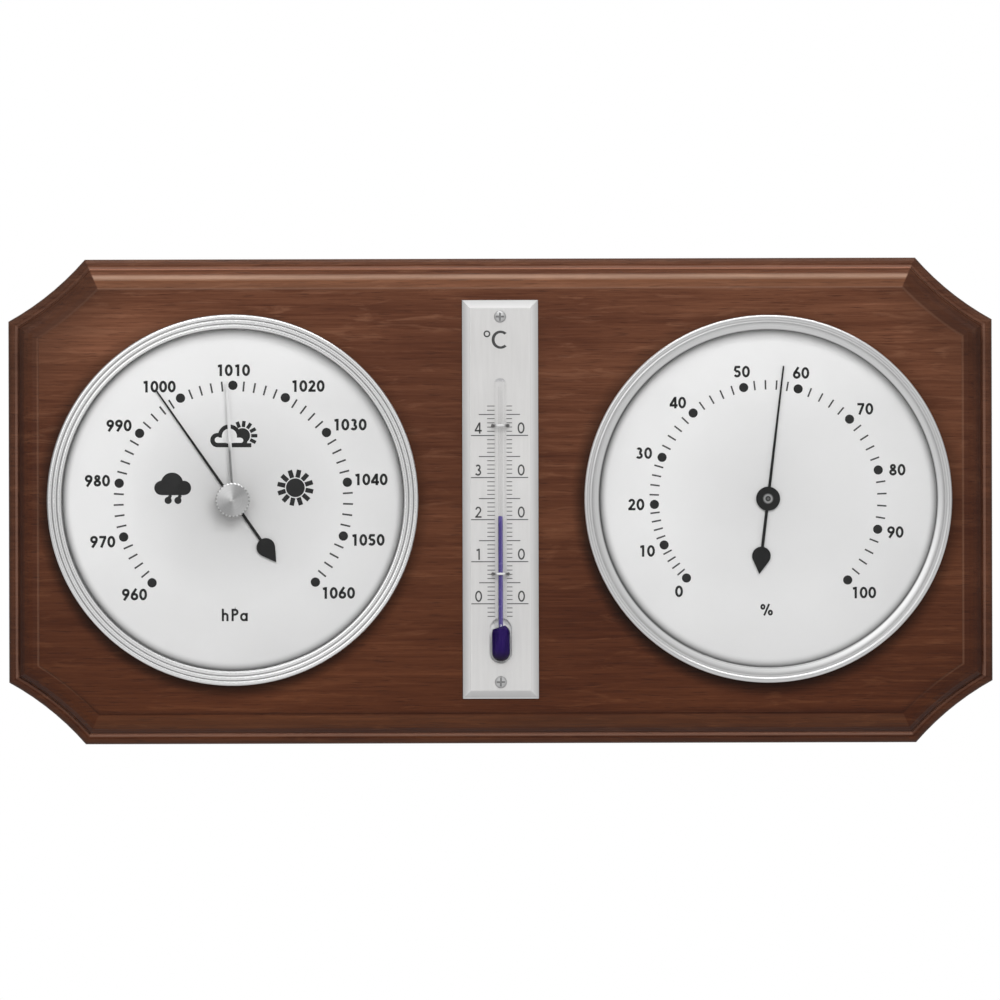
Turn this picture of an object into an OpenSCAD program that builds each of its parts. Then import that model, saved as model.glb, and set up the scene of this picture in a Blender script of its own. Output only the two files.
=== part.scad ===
// Wall weather station: an aneroid barometer and a coil hygrometer in round bezels on a
// moulded board, with a liquid thermometer on a plate between them.
// Everything is drawn lying flat: x to the right, y up the wall, z out of the wall.
// stand_up() then turns it so that the wall is the plane y = 0 and the dials face -y.

/* [Board] */
// Width of the board
board_w = 280; // [262:1:320]
// Height of the board
board_h = 138; // [128:1:160]
// Thickness of the board
board_t = 20; // [20:0.5:24]
// Width of the piece taken off each corner
corner_cut_w = 21.8; // [16:0.2:24]
// Height of the piece taken off each corner
corner_cut_h = 17.6; // [14:0.2:20]
// Radius of the hollow arc across each corner
corner_arc_r = 80; // [60:1:120]
// Width of the rounded nosing along the outer edge
nosing_w = 2.6; // [2:0.1:3.2]
// Width of the groove inside the nosing
quirk_w = 0.3; // [0.2:0.05:0.5]
// Radius of the quarter round that rises to the panel
ovolo_r = 5.3; // [4.4:0.1:5.6]
// Width of the flat beside the panel's edge
fillet_w = 0.5; // [0.3:0.1:0.8]
// Step from the top of the quarter round to the panel
fillet_h = 0.6; // [0.3:0.1:0.9]

/* [Layout] */
// Distance from an end of the board to the centre of the round instrument beside it
instrument_inset = 63.85; // [62:0.05:65]
// Height of the row of instruments above the board's centre
row_rise = 0.45; // [0:0.05:2]

/* [Barometer bezel] */
// Outer radius of the reeded ring
baro_bezel_r = 52.85; // [51.5:0.05:54]
// Radius of its window
baro_sight_r = 48.5; // [47.2:0.05:49]
// Number of reeds
reed_count = 3; // [2:1:4]

/* [Hygrometer bezel] */
// Outer radius of the plain ring
hygro_bezel_r = 52.35; // [51.5:0.05:54]
// Radius of its window
hygro_sight_r = 47.95; // [47.2:0.05:48.5]
// Radius of the rolled outer edge
roll_r = 0.8; // [0.6:0.05:1]

/* [Instrument cases] */
// Outer radius of the cup behind the board's face
cup_r = 40; // [38.5:0.1:41]
// Sheet thickness of the cup
case_t = 0.8; // [0.6:0.1:1]
// Depth of the cup behind the board's face
case_depth = 18.5; // [18.3:0.1:19.1]
// Thickness of the flange on the board
flange_t = 1.5; // [1.5:0.1:2]
// Gap between the cup and its hole in the board
hole_gap = 0.4; // [0.2:0.1:1]
// Thickness of a dial
dial_t = 0.5; // [0.3:0.1:0.8]
// Height of the ring between dial and glass
glass_ring_h = 4; // [3.9:0.1:5]
// Thickness of a glass
glass_t = 2; // [1.5:0.1:2.5]
// Thickness of a bezel's front lip
lip_t = 0.6; // [0.4:0.1:0.8]
// Thickness of a bezel's outer wall
bezel_wall = 1.5; // [1.2:0.1:1.7]
// Radius of the circle of case screws
case_screw_circle_r = 45.5; // [44.5:0.1:46.5]

/* [Pointers] */
// Length of a pointer from its pivot
pointer_len = 38; // [34:0.1:40]
// Width of a pointer beside its pivot
pointer_root_w = 0.85; // [0.6:0.05:1.2]
// Width of a pointer at its tip
pointer_tip_w = 0.45; // [0.3:0.05:0.6]
// Distance from the pivot to the middle of the tail's drop
tail_drop_at = 16.4; // [13:0.1:18]
// Radius of the tail's drop
tail_drop_r = 2.65; // [2:0.05:3]
// Distance from the pivot to the end of the tail
tail_len = 21.6; // [21:0.1:24]
// Thickness of the pointers and the setting hand
hand_t = 0.4; // [0.25:0.05:0.45]
// Pressure pointer's angle at rest, clockwise from the top
baro_rest_deg = -34.8; // [-100:0.1:100]
// Humidity pointer's angle at rest, clockwise from the top
hygro_rest_deg = 6.8; // [-100:0.1:100]
// Radius of the humidity pointer's hub
hygro_hub_r = 3.42; // [2.8:0.02:4]
// Radius of the rivet on the humidity pointer's hub
hub_rivet_r = 1.52; // [1.2:0.02:2]

/* [Setting hand] */
// Setting hand's angle at rest, clockwise from the top
setting_rest_deg = -2.7; // [-100:0.1:100]
// Reach of the setting hand from its pivot
setting_len = 33.8; // [28:0.1:38]
// Width of the setting hand at its hub
setting_root_w = 1.15; // [0.8:0.05:1.4]
// Width of the setting hand at its end
setting_tip_w = 0.7; // [0.4:0.05:0.75]
// Radius of the setting knob
knob_r = 4.92; // [4.4:0.02:6]
// Height of the setting knob
knob_h = 4.5; // [4:0.1:6]
// Height of the cone on the knob's face
knob_cone_h = 0.9; // [0.5:0.1:1.2]
// Number of flutes round the knob
knob_flutes = 28; // [20:2:32]
// Radius of the stem through the glass
stem_r = 1.5; // [1.3:0.05:1.7]

/* [Pressure movement] */
// Radius of the movement's base plate
movement_r = 35; // [34:0.1:36.5]
// Radius of the circle of pillars
pillar_circle_r = 30; // [29:0.1:31]
// Radius of the pillars
pillar_r = 2; // [1.7:0.1:2.2]
// Thickness of the base plate
base_t = 1.2; // [1:0.1:1.3]
// Thickness of the bridge and of the top plate
plate_t = 0.8; // [0.7:0.05:0.85]
// Width of the arms of the bridge and the top plate
arm_w = 5; // [4.5:0.1:6]
// Radius of the capsule
capsule_r = 19; // [16:0.1:22]
// Height of the capsule
capsule_h = 6; // [5:0.1:6.2]
// Height of the boss under the capsule
capsule_boss_h = 2; // [1.8:0.1:2.1]
// Depth of the capsule's rings
corrugation_h = 0.7; // [0.4:0.1:1]
// Distance from the top of the capsule to the lever's axis
lever_rise = 2.3; // [2.1:0.1:2.4]
// Distance along the lever from its axis to the capsule's post
post_arm = 1.8; // [1.6:0.05:2]
// Radius of the lever's shaft
lever_shaft_r = 0.75; // [0.6:0.05:0.8]
// Gear size: pitch radius is half of this times the teeth
gear_module = 0.4; // [0.38:0.01:0.42]
// Teeth of the pinion on the pointer's arbor
pinion_teeth = 10; // [10:2:12]
// Teeth that the sector would have all round
sector_full_teeth = 100; // [90:10:110]
// Thickness of the sector
sector_t = 1; // [0.8:0.1:1.1]
// Radius of the pointer arbors
arbor_r = 0.6; // [0.5:0.05:0.7]
// Turns of the hairspring
hairspring_turns = 4; // [3:1:5]

/* [Humidity movement] */
// Half the distance between its two pillars
hygro_pillar_x = 15; // [14.5:0.1:18]
// Turns of the humidity coil
coil_turns = 5; // [3:1:6]
// Outer radius of the humidity coil
coil_r = 10; // [8:0.1:10.4]
// Width of the coil's band
coil_band_w = 4; // [3:0.1:5]
// Thickness of the coil's band
coil_band_t = 0.25; // [0.15:0.05:0.35]

/* [Thermometer] */
// Width of the plate
scale_plate_w = 21.6; // [18:0.1:26]
// Height of the plate
scale_plate_h = 113.4; // [108:0.1:118]
// Thickness of the plate
scale_plate_t = 3; // [2.6:0.1:3.4]
// Width of the bevel round the plate
bevel_w = 2.3; // [1.5:0.1:2.6]
// Depth of that bevel
bevel_h = 1.8; // [1:0.1:2]
// Radius of the glass tube
tube_r = 1.78; // [1.5:0.02:2]
// Top of the tube above the plate's centre
tube_top = 34.5; // [32:0.1:38]
// Top of the bulb below the plate's centre
bulb_top = 35.6; // [34:0.1:37]
// Bottom of the bulb below the plate's centre
bulb_bottom = 46.2; // [45:0.1:47]
// Radius of the bulb
bulb_r = 2.7; // [2.4:0.05:3]
// Radius of the liquid column
column_r = 0.55; // [0.4:0.05:0.6]
// Length of one degree on the scale
degree_len = 1.197; // [1.18:0.001:1.21]
// Height of the zero mark below the plate's centre
zero_below = 29.7; // [29.2:0.1:30]
// Temperature shown at rest
rest_temp = 20.9; // [0:0.1:40]
// Height of the upper wire clip above the plate's centre
upper_clip_y = 21; // [15:0.1:30]
// Depth of the lower wire clip below the plate's centre
lower_clip_y = 21.2; // [15:0.1:30]
// Radius of the clip wire
clip_wire_r = 0.35; // [0.25:0.05:0.4]
// Distance of the plate's screws above and below its centre
plate_screw_y = 52; // [50.5:0.1:53]

/* [Screws] */
// Shank radius of the wood screws
wood_screw_r = 1.2; // [1:0.05:1.4]
// Depth of the wood screws in the board
wood_screw_len = 11; // [8:0.5:13]
// Shank radius of the machine screws
machine_screw_r = 0.9; // [0.8:0.05:1]
// Length of the machine screws in their pillars
machine_screw_len = 4; // [3:0.1:4.5]
// Head radius of the machine screws
machine_head_r = 1.8; // [1.6:0.1:2]
// Head height of the machine screws
machine_head_h = 0.7; // [0.5:0.05:0.75]
// Width of a screwdriver slot
slot_w = 0.5; // [0.4:0.05:0.6]
// Depth of a screwdriver slot
slot_d = 0.4; // [0.3:0.05:0.45]

/* [Wall hanger] */
// Height of the keyhole's round end above the board's centre
hanger_y = 42; // [36:1:44]
// Radius of the keyhole's round end, which passes the wall screw's head
keyhole_r = 4.25; // [4:0.05:5]
// Radius of the keyhole's slot, which holds the wall screw's shank
keyhole_slot_r = 2.1; // [1.6:0.05:2.4]
// Length of the keyhole's slot
keyhole_slot_len = 8; // [7:0.1:9]
// Width of the hanger plate
hanger_w = 36; // [34:0.5:42]
// Height of the hanger plate
hanger_h = 24; // [22:0.5:26]
// Thickness of the hanger plate
hanger_t = 1.2; // [1:0.1:1.6]
// Depth of the pocket for the wall screw's head
pocket_d = 8; // [6:0.5:10]

/* [Fits] */
// Radial clearance of a running fit
running_gap = 0.05; // [0.03:0.01:0.08]
// Radial clearance of a screw in its thread
thread_gap = 0.05; // [0.03:0.01:0.1]
// Gap round a piece that drops into a rim
drop_in_gap = 0.15; // [0.1:0.05:0.3]
// Gap between moving pieces that push each other
contact_gap = 0.12; // [0.1:0.01:0.2]

/* [Hidden] */
$fn = 64;

// How far a cutting shape reaches past what it cuts
cut_over = 5;
// How far a hole's cutter reaches past the face it opens in
hole_over = 1;

// Board
moulding_w = nosing_w + quirk_w + ovolo_r + fillet_w;
ledge_z = board_t - ovolo_r - fillet_h;
nosing_r = 0.65 * nosing_w;
nosing_line_w = 0.15;
nosing_line_d = 0.2;
quirk_d = 0.5;
corner_chord = norm([corner_cut_w, corner_cut_h]);
corner_arc_out = sqrt(corner_arc_r ^ 2 - (corner_chord / 2) ^ 2);
corner_centre = [
    (board_w - corner_cut_w) / 2 + corner_cut_h / corner_chord * corner_arc_out,
    (board_h - corner_cut_h) / 2 + corner_cut_w / corner_chord * corner_arc_out
];

// Places of the three instruments on the board
instrument_x = board_w / 2 - instrument_inset;
baro_at = [-instrument_x, row_rise, 0];
hygro_at = [instrument_x, row_rise, 0];
thermo_at = [0, row_rise, 0];

// Heights above the wall that both round instruments share
floor_z = board_t - case_depth;
inner_floor_z = floor_z + case_t;
dial_z = board_t + flange_t;
ring_z = dial_z + dial_t;
glass_z = ring_z + glass_ring_h;
lip_z = glass_z + glass_t;
rim_sink = 0.4;
rim_top_z = lip_z - rim_sink;
pointer_lift = 0.8;
pointer_z = ring_z + pointer_lift;
bezel_lift = 0.3;

// Case screws
case_screw_angles = [90, 210, 330];
screw_head_h = 1.1;
wood_head_r = wood_screw_r + screw_head_h;
screw_bore_r = wood_screw_r + thread_gap;
machine_bore_r = machine_screw_r + thread_gap;
head_flush_gap = 0.05;
seat_gap = 0.1;

// Bezels
reed_w = (baro_bezel_r - baro_sight_r) / reed_count;
reed_overlap = 1.05;
reed_r = reed_w / 2 * reed_overlap;
reed_pitch = (baro_bezel_r - baro_sight_r - 2 * reed_r) / max(1, reed_count - 1);
band_rise = 0.5;
groove_w = 0.3;
wall_inset = 0.15;
snap_gap = 0.05;
ring_inset = 0.35;
spot_d = 0.2;

// Pressure movement, from the case floor outwards
arm_angles = [90, 210, 330];
base_front_z = inner_floor_z + base_t;
capsule_z = base_front_z + capsule_boss_h;
capsule_top_z = capsule_z + capsule_h;
lever_z = capsule_top_z + lever_rise;
bridge_rise = 1.8;
bridge_z = lever_z + bridge_rise;
bridge_front_z = bridge_z + plate_t;
sector_lift = 0.6;
sector_z = bridge_front_z + sector_lift;
top_plate_lift = 0.8;
top_plate_z = sector_z + sector_t + top_plate_lift;
top_plate_front_z = top_plate_z + plate_t;
hairspring_lift = 0.4;
hairspring_z = top_plate_front_z + hairspring_lift;
hairspring_h = 0.6;
pinion_overhang = 0.2;

// Gear pair: the sector's axis lies to the right of the pointer's
pinion_pitch_r = gear_module * pinion_teeth / 2;
sector_pitch_r = gear_module * sector_full_teeth / 2;
sector_x = pinion_pitch_r + sector_pitch_r;
addendum_ratio = 0.8;
addendum = addendum_ratio * gear_module;
dedendum_ratio = 1.2;
dedendum = dedendum_ratio * gear_module;
tooth_root_half = 0.28;
tooth_tip_half = 0.14;
sector_teeth_before = 7;
sector_teeth_after = 6;
sector_hub_r = 2;

// Lever that carries the capsule's travel to the sector's tail
tail_arm = sector_z + sector_t / 2 - lever_z;
tail_w = 1;
ball_r = 0.45;
lever_rod_r = 0.32;
lever_y = -(tail_w / 2 + ball_r + contact_gap);
capsule_y = lever_y + post_arm;
lever_bar_w = 1.6;
lever_bar_t = 0.6;
lever_bar_end = 0.8;
ear_t = 1.5;
ear_tip_wall = 0.5;
ear_drop = lever_shaft_r + ear_tip_wall;
ear_side_wall = 0.9;
ear_w = 2 * (lever_shaft_r + ear_side_wall);
ear_left_x = -6;
ear_right_gap = 4;
ear_right_x = sector_x - ear_right_gap;
lever_end = 0.4;
tail_end = 0.6;
post_r = 0.5;
post_foot_r = 2;
post_foot_h = 0.5;
post_foot_gap = 0.05;
capsule_rim_t = 0.8;
capsule_flat_r = 4;
corrugation_pitch = 4;
capsule_rim_w = 1.5;
capsule_weld_w = 0.5;

// Adjusting screws, reached through the case's floor
adjuster_r = 1.9;
adjuster_head_r = 2.8;
adjuster_head_h = 0.9;
access_gap = 0.4;
adjuster_lift = 0.1;
adjuster_tip_gap = 0.3;

// Arbors, hands and the setting knob
pivot_bore_r = arbor_r + running_gap;
arbor_end_lift = 0.05;
collar_r = 1.15;
collar_h = 0.5;
collar_gap = 0.1;
collet_r = 1;
dial_bore_r = 1.6;
pointer_hub_r = 1.7;
pointer_hub_h = 1;
arbor_nose = 0.15;
arbor_end_z = pointer_z + pointer_hub_h + arbor_nose;
stem_gap = 0.35;
stem_z = arbor_end_z + stem_gap;
stem_nose = 0.3;
setting_hand_z = stem_z + stem_nose;
setting_hub_r = 2.6;
bush_wall = 0.65;
bush_r = stem_r + bush_wall;
bush_lip_w = 0.7;
bush_lip_t = 0.35;
knob_gap = 0.35;
knob_z = lip_z + bush_lip_t + knob_gap;
knob_bore_d = 2.4;
knob_edge_h = 0.35;
flute_r = 0.36;
coil_start_gap = 0.3;
hairspring_in_r = collet_r + coil_start_gap;
hairspring_out_r = 5.8;
hairspring_t = 0.15;
stud_r = 0.5;
teardrop_steps = 20;

// Humidity movement
hygro_bar_w = 8;
hygro_bar_over = 3;
coil_rise = 5.7;
coil_z = inner_floor_z + coil_rise;
coil_in_r = collet_r + coil_start_gap;
coil_post_r = 0.6;
coil_post_at = coil_r + coil_band_t / 2 + coil_post_r + contact_gap;
adjuster_arm_w = 2;
adjuster_arm_t = 0.8;
adjuster_arm_lift = 0.5;
adjuster_arm_z = inner_floor_z + base_t + adjuster_arm_lift;
adjuster_nose = 1.4;
adjuster_shaft_top = adjuster_arm_z + adjuster_arm_t + adjuster_nose;
arbor_foot_d = 1.5;
arbor_foot_gap = 0.1;
hygro_bridge_rise = 14.1;
hygro_bridge_z = inner_floor_z + hygro_bridge_rise;
rivet_h = 0.4;
rivet_dimple_r = 0.57;
spiral_steps = 20;

// Thermometer
plate_front_z = board_t + scale_plate_t;
tube_seat = 0.12;
tube_z = plate_front_z + tube_r + tube_seat;
bore_gap = 0.07;
bore_r = column_r + bore_gap;
bulb_wall = 0.55;
liquid_gap = 0.05;
bore_top_gap = 2.5;
column_top = -zero_below + rest_temp * degree_len;
meniscus_len = 0.8;
bulb_shoulder = 1.6;
bulb_slot_gap = 0.5;
clip_gap = 0.06;
clip_hole_gap = 0.1;
clip_end = 0.3;
round_head_r = 1.7;
round_head_sphere_r = 2.1;
round_head_rim = 0.3;
plate_screw_r = 1;
cross_w = 0.45;
cross_d = 0.5;
cross_reach = 0.65 * round_head_r;
arc_steps = 6;

// Wall hanger
hanger_plate_y = hanger_y + keyhole_slot_len / 2;
pocket_gap = 2;
hanger_screw_inset = 5;
hanger_screw_x = hanger_w / 2 - hanger_screw_inset;
hanger_screw_len = 9;
hanger_screw_r = 1.2;

// Turns the flat drawing up against the wall
module stand_up() {
    rotate([90, 0, 0]) children();
}

// Lays a child at the corners of a circle
module around(radius, angles) {
    for (a = angles) rotate([0, 0, a]) translate([radius, 0, 0]) children();
}

// Ring with square edges, standing on its own lower face
module ring(outer, inner, height) {
    difference() {
        cylinder(r = outer, h = height);
        translate([0, 0, -hole_over]) cylinder(r = inner, h = height + 2 * hole_over);
    }
}

// Hole through a plate that lies from z to z + depth
module hole(radius, z, depth) {
    translate([0, 0, z - hole_over]) cylinder(r = radius, h = depth + 2 * hole_over);
}

// Plain machine screw: its head stands on z = 0, its shank hangs below
module machine_screw(length) {
    difference() {
        union() {
            cylinder(r = machine_head_r, h = machine_head_h);
            translate([0, 0, -length]) cylinder(r = machine_screw_r, h = length);
        }
        translate([-machine_head_r - hole_over, -slot_w / 2, machine_head_h - slot_d])
            cube([2 * (machine_head_r + hole_over), slot_w, slot_d + hole_over]);
    }
}

// Countersunk wood screw: its face lies on z = 0, all else is below
module wood_screw(length, shank_r = wood_screw_r) {
    difference() {
        union() {
            translate([0, 0, -screw_head_h])
                cylinder(r1 = shank_r, r2 = shank_r + screw_head_h, h = screw_head_h);
            translate([0, 0, -length]) cylinder(r = shank_r, h = length - screw_head_h);
        }
        translate([-2 * wood_head_r, -slot_w / 2, -slot_d])
            cube([4 * wood_head_r, slot_w, slot_d + hole_over]);
    }
}

// Seat for a countersunk head whose rim opens on z = 0
module countersink(shank_r = wood_screw_r) {
    translate([0, 0, -screw_head_h])
        cylinder(r1 = shank_r + seat_gap, r2 = shank_r + screw_head_h + seat_gap,
            h = screw_head_h);
    cylinder(r = shank_r + screw_head_h + seat_gap, h = hole_over);
}

// Outline points of a drop on a pointer's tail: an arc and its two tangents to a point
function drop_points(r, reach) =
    let (open = acos(r / reach))
    [
        [0, -reach],
        for (i = [0 : teardrop_steps])
            let (a = -90 + open + i * (360 - 2 * open) / teardrop_steps)
            [r * cos(a), r * sin(a)]
    ];

// Flat pointer that points up, with a drop-shaped tail
module pointer_outline() {
    polygon([
        [-pointer_tip_w / 2, pointer_len], [pointer_tip_w / 2, pointer_len],
        [pointer_root_w / 2, 0], [pointer_root_w / 2, -tail_drop_at],
        [-pointer_root_w / 2, -tail_drop_at], [-pointer_root_w / 2, 0]
    ]);
    translate([0, -tail_drop_at])
        polygon(drop_points(tail_drop_r, tail_len - tail_drop_at));
}

// Points of a flat spiral band between two radii
function spiral_edge(r_in, r_out, turns, side) = [
    for (i = [0 : turns * spiral_steps])
        let (a = 360 * i / spiral_steps, r = r_in + (r_out - r_in) * i / (turns * spiral_steps))
        [(r + side) * cos(a), (r + side) * sin(a)]
];

module spiral_band(r_in, r_out, turns, thickness, height) {
    inner = spiral_edge(r_in, r_out, turns, -thickness / 2);
    outer = spiral_edge(r_in, r_out, turns, thickness / 2);
    last = len(outer) - 1;
    linear_extrude(height = height)
        polygon([for (p = inner) p, for (i = [0 : last]) outer[last - i]]);
}

// Corners of one tooth: part of a pitch from its middle, and whether at its tip
function tooth_corners() = [
    [-tooth_root_half, 0], [-tooth_tip_half, 1], [tooth_tip_half, 1], [tooth_root_half, 0]
];

// Points of a run of straight-flanked teeth about angle zero
function tooth_points(full_teeth, pitch_r, first, last) =
    let (pitch_deg = 360 / full_teeth, tip_r = pitch_r + addendum, root_r = pitch_r - dedendum)
    [
        for (k = [first : last], corner = tooth_corners())
            let (a = (k + corner[0]) * pitch_deg, r = corner[1] == 1 ? tip_r : root_r)
            [r * cos(a), r * sin(a)]
    ];

// Board outline: a rectangle with a hollow arc across each corner, or the same line further in
module board_outline(inset = 0) {
    difference() {
        square([board_w - 2 * inset, board_h - 2 * inset], center = true);
        for (sx = [-1, 1], sy = [-1, 1])
            translate([sx * corner_centre[0], sy * corner_centre[1]])
                circle(r = corner_arc_r + inset);
    }
}

// Groove that runs all round the nosing, mitred at the corners
module nosing_groove(inset, w, d) {
    translate([0, 0, ledge_z - d]) linear_extrude(height = d + cut_over) difference() {
        board_outline(inset);
        board_outline(inset + w);
    }
}

// Points of an arc about a centre, from one angle to another
function arc_points(centre, r, from, to) = [
    for (i = [0 : arc_steps])
        let (a = from + (to - from) * i / arc_steps)
        centre + r * [cos(a), sin(a)]
];

// What the moulding takes off the board's edge: x runs inwards, y out of the wall
module moulding_cut() {
    polygon([
        [-cut_over, ledge_z - nosing_r],
        each arc_points([nosing_r, ledge_z - nosing_r], nosing_r, 180, 90),
        each arc_points([nosing_w + quirk_w + ovolo_r, ledge_z], ovolo_r, 180, 90),
        [moulding_w, ledge_z + ovolo_r],
        [moulding_w, board_t + cut_over],
        [-cut_over, board_t + cut_over]
    ]);
}

module edge_cut(half_span) {
    translate([-half_span, 0, 0]) rotate([90, 0, 0])
        linear_extrude(height = 2 * board_w, center = true) moulding_cut();
}

module corner_cut() {
    translate([corner_centre[0], corner_centre[1], 0])
        rotate_extrude() translate([corner_arc_r, 0]) moulding_cut();
}

// Round hole for a case's cup, with the holes of its three screws
module case_hole() {
    hole(cup_r + hole_gap, 0, board_t);
    around(case_screw_circle_r, case_screw_angles)
        translate([0, 0, board_t - wood_screw_len])
            cylinder(r = screw_bore_r, h = wood_screw_len + hole_over);
}

module board() {
    color("saddlebrown") stand_up() difference() {
        linear_extrude(height = board_t) board_outline();
        for (turn = [0, 180]) rotate([0, 0, turn]) edge_cut(board_w / 2);
        for (turn = [90, 270]) rotate([0, 0, turn]) edge_cut(board_h / 2);
        for (sx = [0, 1], sy = [0, 1]) mirror([sx, 0, 0]) mirror([0, sy, 0]) corner_cut();
        nosing_groove(nosing_r, nosing_line_w, nosing_line_d);
        nosing_groove(nosing_w, quirk_w, quirk_d);
        translate(baro_at) case_hole();
        translate(hygro_at) case_hole();
        for (s = [-1, 1]) translate(thermo_at + [0, s * plate_screw_y, 0])
            translate([0, 0, board_t - wood_screw_len])
                cylinder(r = plate_screw_r + thread_gap, h = wood_screw_len + hole_over);
        translate([-hanger_w / 2, hanger_plate_y - hanger_h / 2, -hole_over])
            cube([hanger_w, hanger_h, hanger_t + hole_over]);
        translate([-keyhole_r - pocket_gap, hanger_y - keyhole_r - pocket_gap, 0])
            cube([2 * (keyhole_r + pocket_gap),
                2 * (keyhole_r + pocket_gap) + keyhole_slot_len, hanger_t + pocket_d]);
        for (s = [-1, 1]) translate([s * hanger_screw_x, hanger_plate_y, 0])
            cylinder(r = hanger_screw_r + thread_gap, h = hanger_screw_len + hole_over);
    }
}

module wall_hanger() {
    color("silver") stand_up() difference() {
        translate([-hanger_w / 2 + drop_in_gap, hanger_plate_y - hanger_h / 2 + drop_in_gap, 0])
            cube([hanger_w - 2 * drop_in_gap, hanger_h - 2 * drop_in_gap, hanger_t]);
        translate([0, hanger_y, 0]) hole(keyhole_r, 0, hanger_t);
        translate([-keyhole_slot_r, hanger_y, -hole_over])
            cube([2 * keyhole_slot_r, keyhole_slot_len, hanger_t + 2 * hole_over]);
        translate([0, hanger_y + keyhole_slot_len, 0]) hole(keyhole_slot_r, 0, hanger_t);
        for (s = [-1, 1]) translate([s * hanger_screw_x, hanger_plate_y, 0]) {
            mirror([0, 0, 1]) countersink(hanger_screw_r);
            hole(hanger_screw_r + thread_gap, 0, hanger_t);
        }
    }
}

module hanger_screws() {
    color("silver") stand_up()
        for (s = [-1, 1]) translate([s * hanger_screw_x, hanger_plate_y, head_flush_gap])
            mirror([0, 0, 1]) wood_screw(hanger_screw_len, hanger_screw_r);
}

// Closed profile of the bulb: straight sides and a round bottom
function bulb_points(r, bottom, top, shoulder_r) = [
    for (i = [0 : arc_steps]) let (a = 90 * i / arc_steps) [r * sin(a), bottom + r - r * cos(a)],
    [r, top - bulb_shoulder],
    [shoulder_r, top],
    [0, top]
];

// Turns a profile drawn with y up into a solid that stands up the wall
module turned_up() {
    rotate([-90, 0, 0]) rotate_extrude() children();
}

module thermometer_plate() {
    half_w = scale_plate_w / 2;
    half_h = scale_plate_h / 2;
    color("gainsboro") stand_up() translate(thermo_at) difference() {
        translate([-half_w, -half_h, board_t]) cube([scale_plate_w, scale_plate_h, scale_plate_t]);
        for (turn = [0, 180]) rotate([0, 0, turn]) plate_bevel(half_w, scale_plate_h);
        for (turn = [90, 270]) rotate([0, 0, turn]) plate_bevel(half_h, scale_plate_w);
        for (s = [-1, 1]) translate([0, s * plate_screw_y, 0])
            hole(plate_screw_r + thread_gap, board_t, scale_plate_t);
        slot_r = bulb_r + bulb_slot_gap;
        slot_low = -bulb_bottom + bulb_r;
        slot_high = -bulb_top - bulb_r / 2;
        for (y = [slot_low, slot_high]) translate([0, y, 0]) hole(slot_r, board_t, scale_plate_t);
        translate([-slot_r, slot_low, board_t - hole_over])
            cube([2 * slot_r, slot_high - slot_low, scale_plate_t + 2 * hole_over]);
        for (y = [upper_clip_y, -lower_clip_y], s = [-1, 1]) translate([s * clip_leg_x(), y, 0])
            hole(clip_wire_r + clip_hole_gap, board_t, scale_plate_t);
    }
}

// Wedge that bevels one edge of the plate
module plate_bevel(half_span, length) {
    run = length + 2 * cut_over;
    over = bevel_w / bevel_h;
    translate([half_span, run / 2, plate_front_z]) rotate([90, 0, 0])
        linear_extrude(height = run)
            polygon([
                [-bevel_w - over, 1], [1, -bevel_h - 1 / over], [1, 1]
            ]);
}

function clip_leg_x() = tube_r + clip_gap + clip_wire_r;

module plate_screws() {
    color("silver") stand_up() for (s = [-1, 1])
        translate(thermo_at + [0, s * plate_screw_y, plate_front_z]) difference() {
            union() {
                intersection() {
                    translate([0, 0, round_head_rim
                        - sqrt(round_head_sphere_r ^ 2 - round_head_r ^ 2)])
                        sphere(r = round_head_sphere_r);
                    cylinder(r = round_head_r, h = 2 * round_head_r);
                }
                translate([0, 0, board_t - plate_front_z - wood_screw_len + hole_over])
                    cylinder(r = plate_screw_r,
                        h = plate_front_z - board_t + wood_screw_len - hole_over);
            }
            for (turn = [0, 90]) rotate([0, 0, turn])
                translate([-cross_reach, -cross_w / 2, round_head_rim + cross_d])
                    cube([2 * cross_reach, cross_w, round_head_r]);
        }
}

module thermometer_tube() {
    color([0.9, 0.95, 1, 0.5]) stand_up() translate(thermo_at + [0, 0, tube_z]) turned_up()
        difference() {
            polygon([
                for (p = bulb_points(bulb_r, -bulb_bottom, -bulb_top, tube_r))
                    if (p[1] < -bulb_top) p,
                [tube_r, -bulb_top],
                for (i = [0 : arc_steps]) let (a = 90 * i / arc_steps)
                    [tube_r * cos(a), tube_top - tube_r + tube_r * sin(a)]
            ]);
            polygon([
                for (p = bulb_points(bulb_r - bulb_wall, -bulb_bottom + bulb_wall, -bulb_top,
                    bore_r)) if (p[0] > 0 || p[1] < -bulb_top) p,
                [bore_r, tube_top - bore_top_gap],
                [0, tube_top - bore_top_gap]
            ]);
        }
}

module bulb_liquid() {
    gap = bulb_wall + liquid_gap;
    color("darkslateblue") stand_up() translate(thermo_at + [0, 0, tube_z]) turned_up()
        polygon(bulb_points(bulb_r - gap, -bulb_bottom + gap, -bulb_top, column_r));
}

module liquid_column() {
    color("darkslateblue") stand_up() translate(thermo_at + [0, -bulb_top, tube_z])
        rotate([-90, 0, 0]) cylinder(r = column_r, h = column_top + bulb_top - meniscus_len);
}

module liquid_meniscus() {
    color("darkslateblue") stand_up() translate(thermo_at + [0, column_top, tube_z])
        rotate([90, 0, 0]) cylinder(r = column_r, h = meniscus_len);
}

// Wire staple over the tube, with its legs in two holes of the plate
module tube_clip(y) {
    color("dimgray") stand_up() translate(thermo_at + [0, y, 0]) {
        translate([0, 0, tube_z]) rotate([90, 0, 0])
            rotate_extrude(angle = 180) translate([clip_leg_x(), 0]) circle(r = clip_wire_r);
        for (s = [-1, 1]) translate([s * clip_leg_x(), 0, board_t + clip_end])
            cylinder(r = clip_wire_r, h = tube_z - board_t - clip_end);
    }
}

module tube_clip_upper() {
    tube_clip(upper_clip_y);
}

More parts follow.
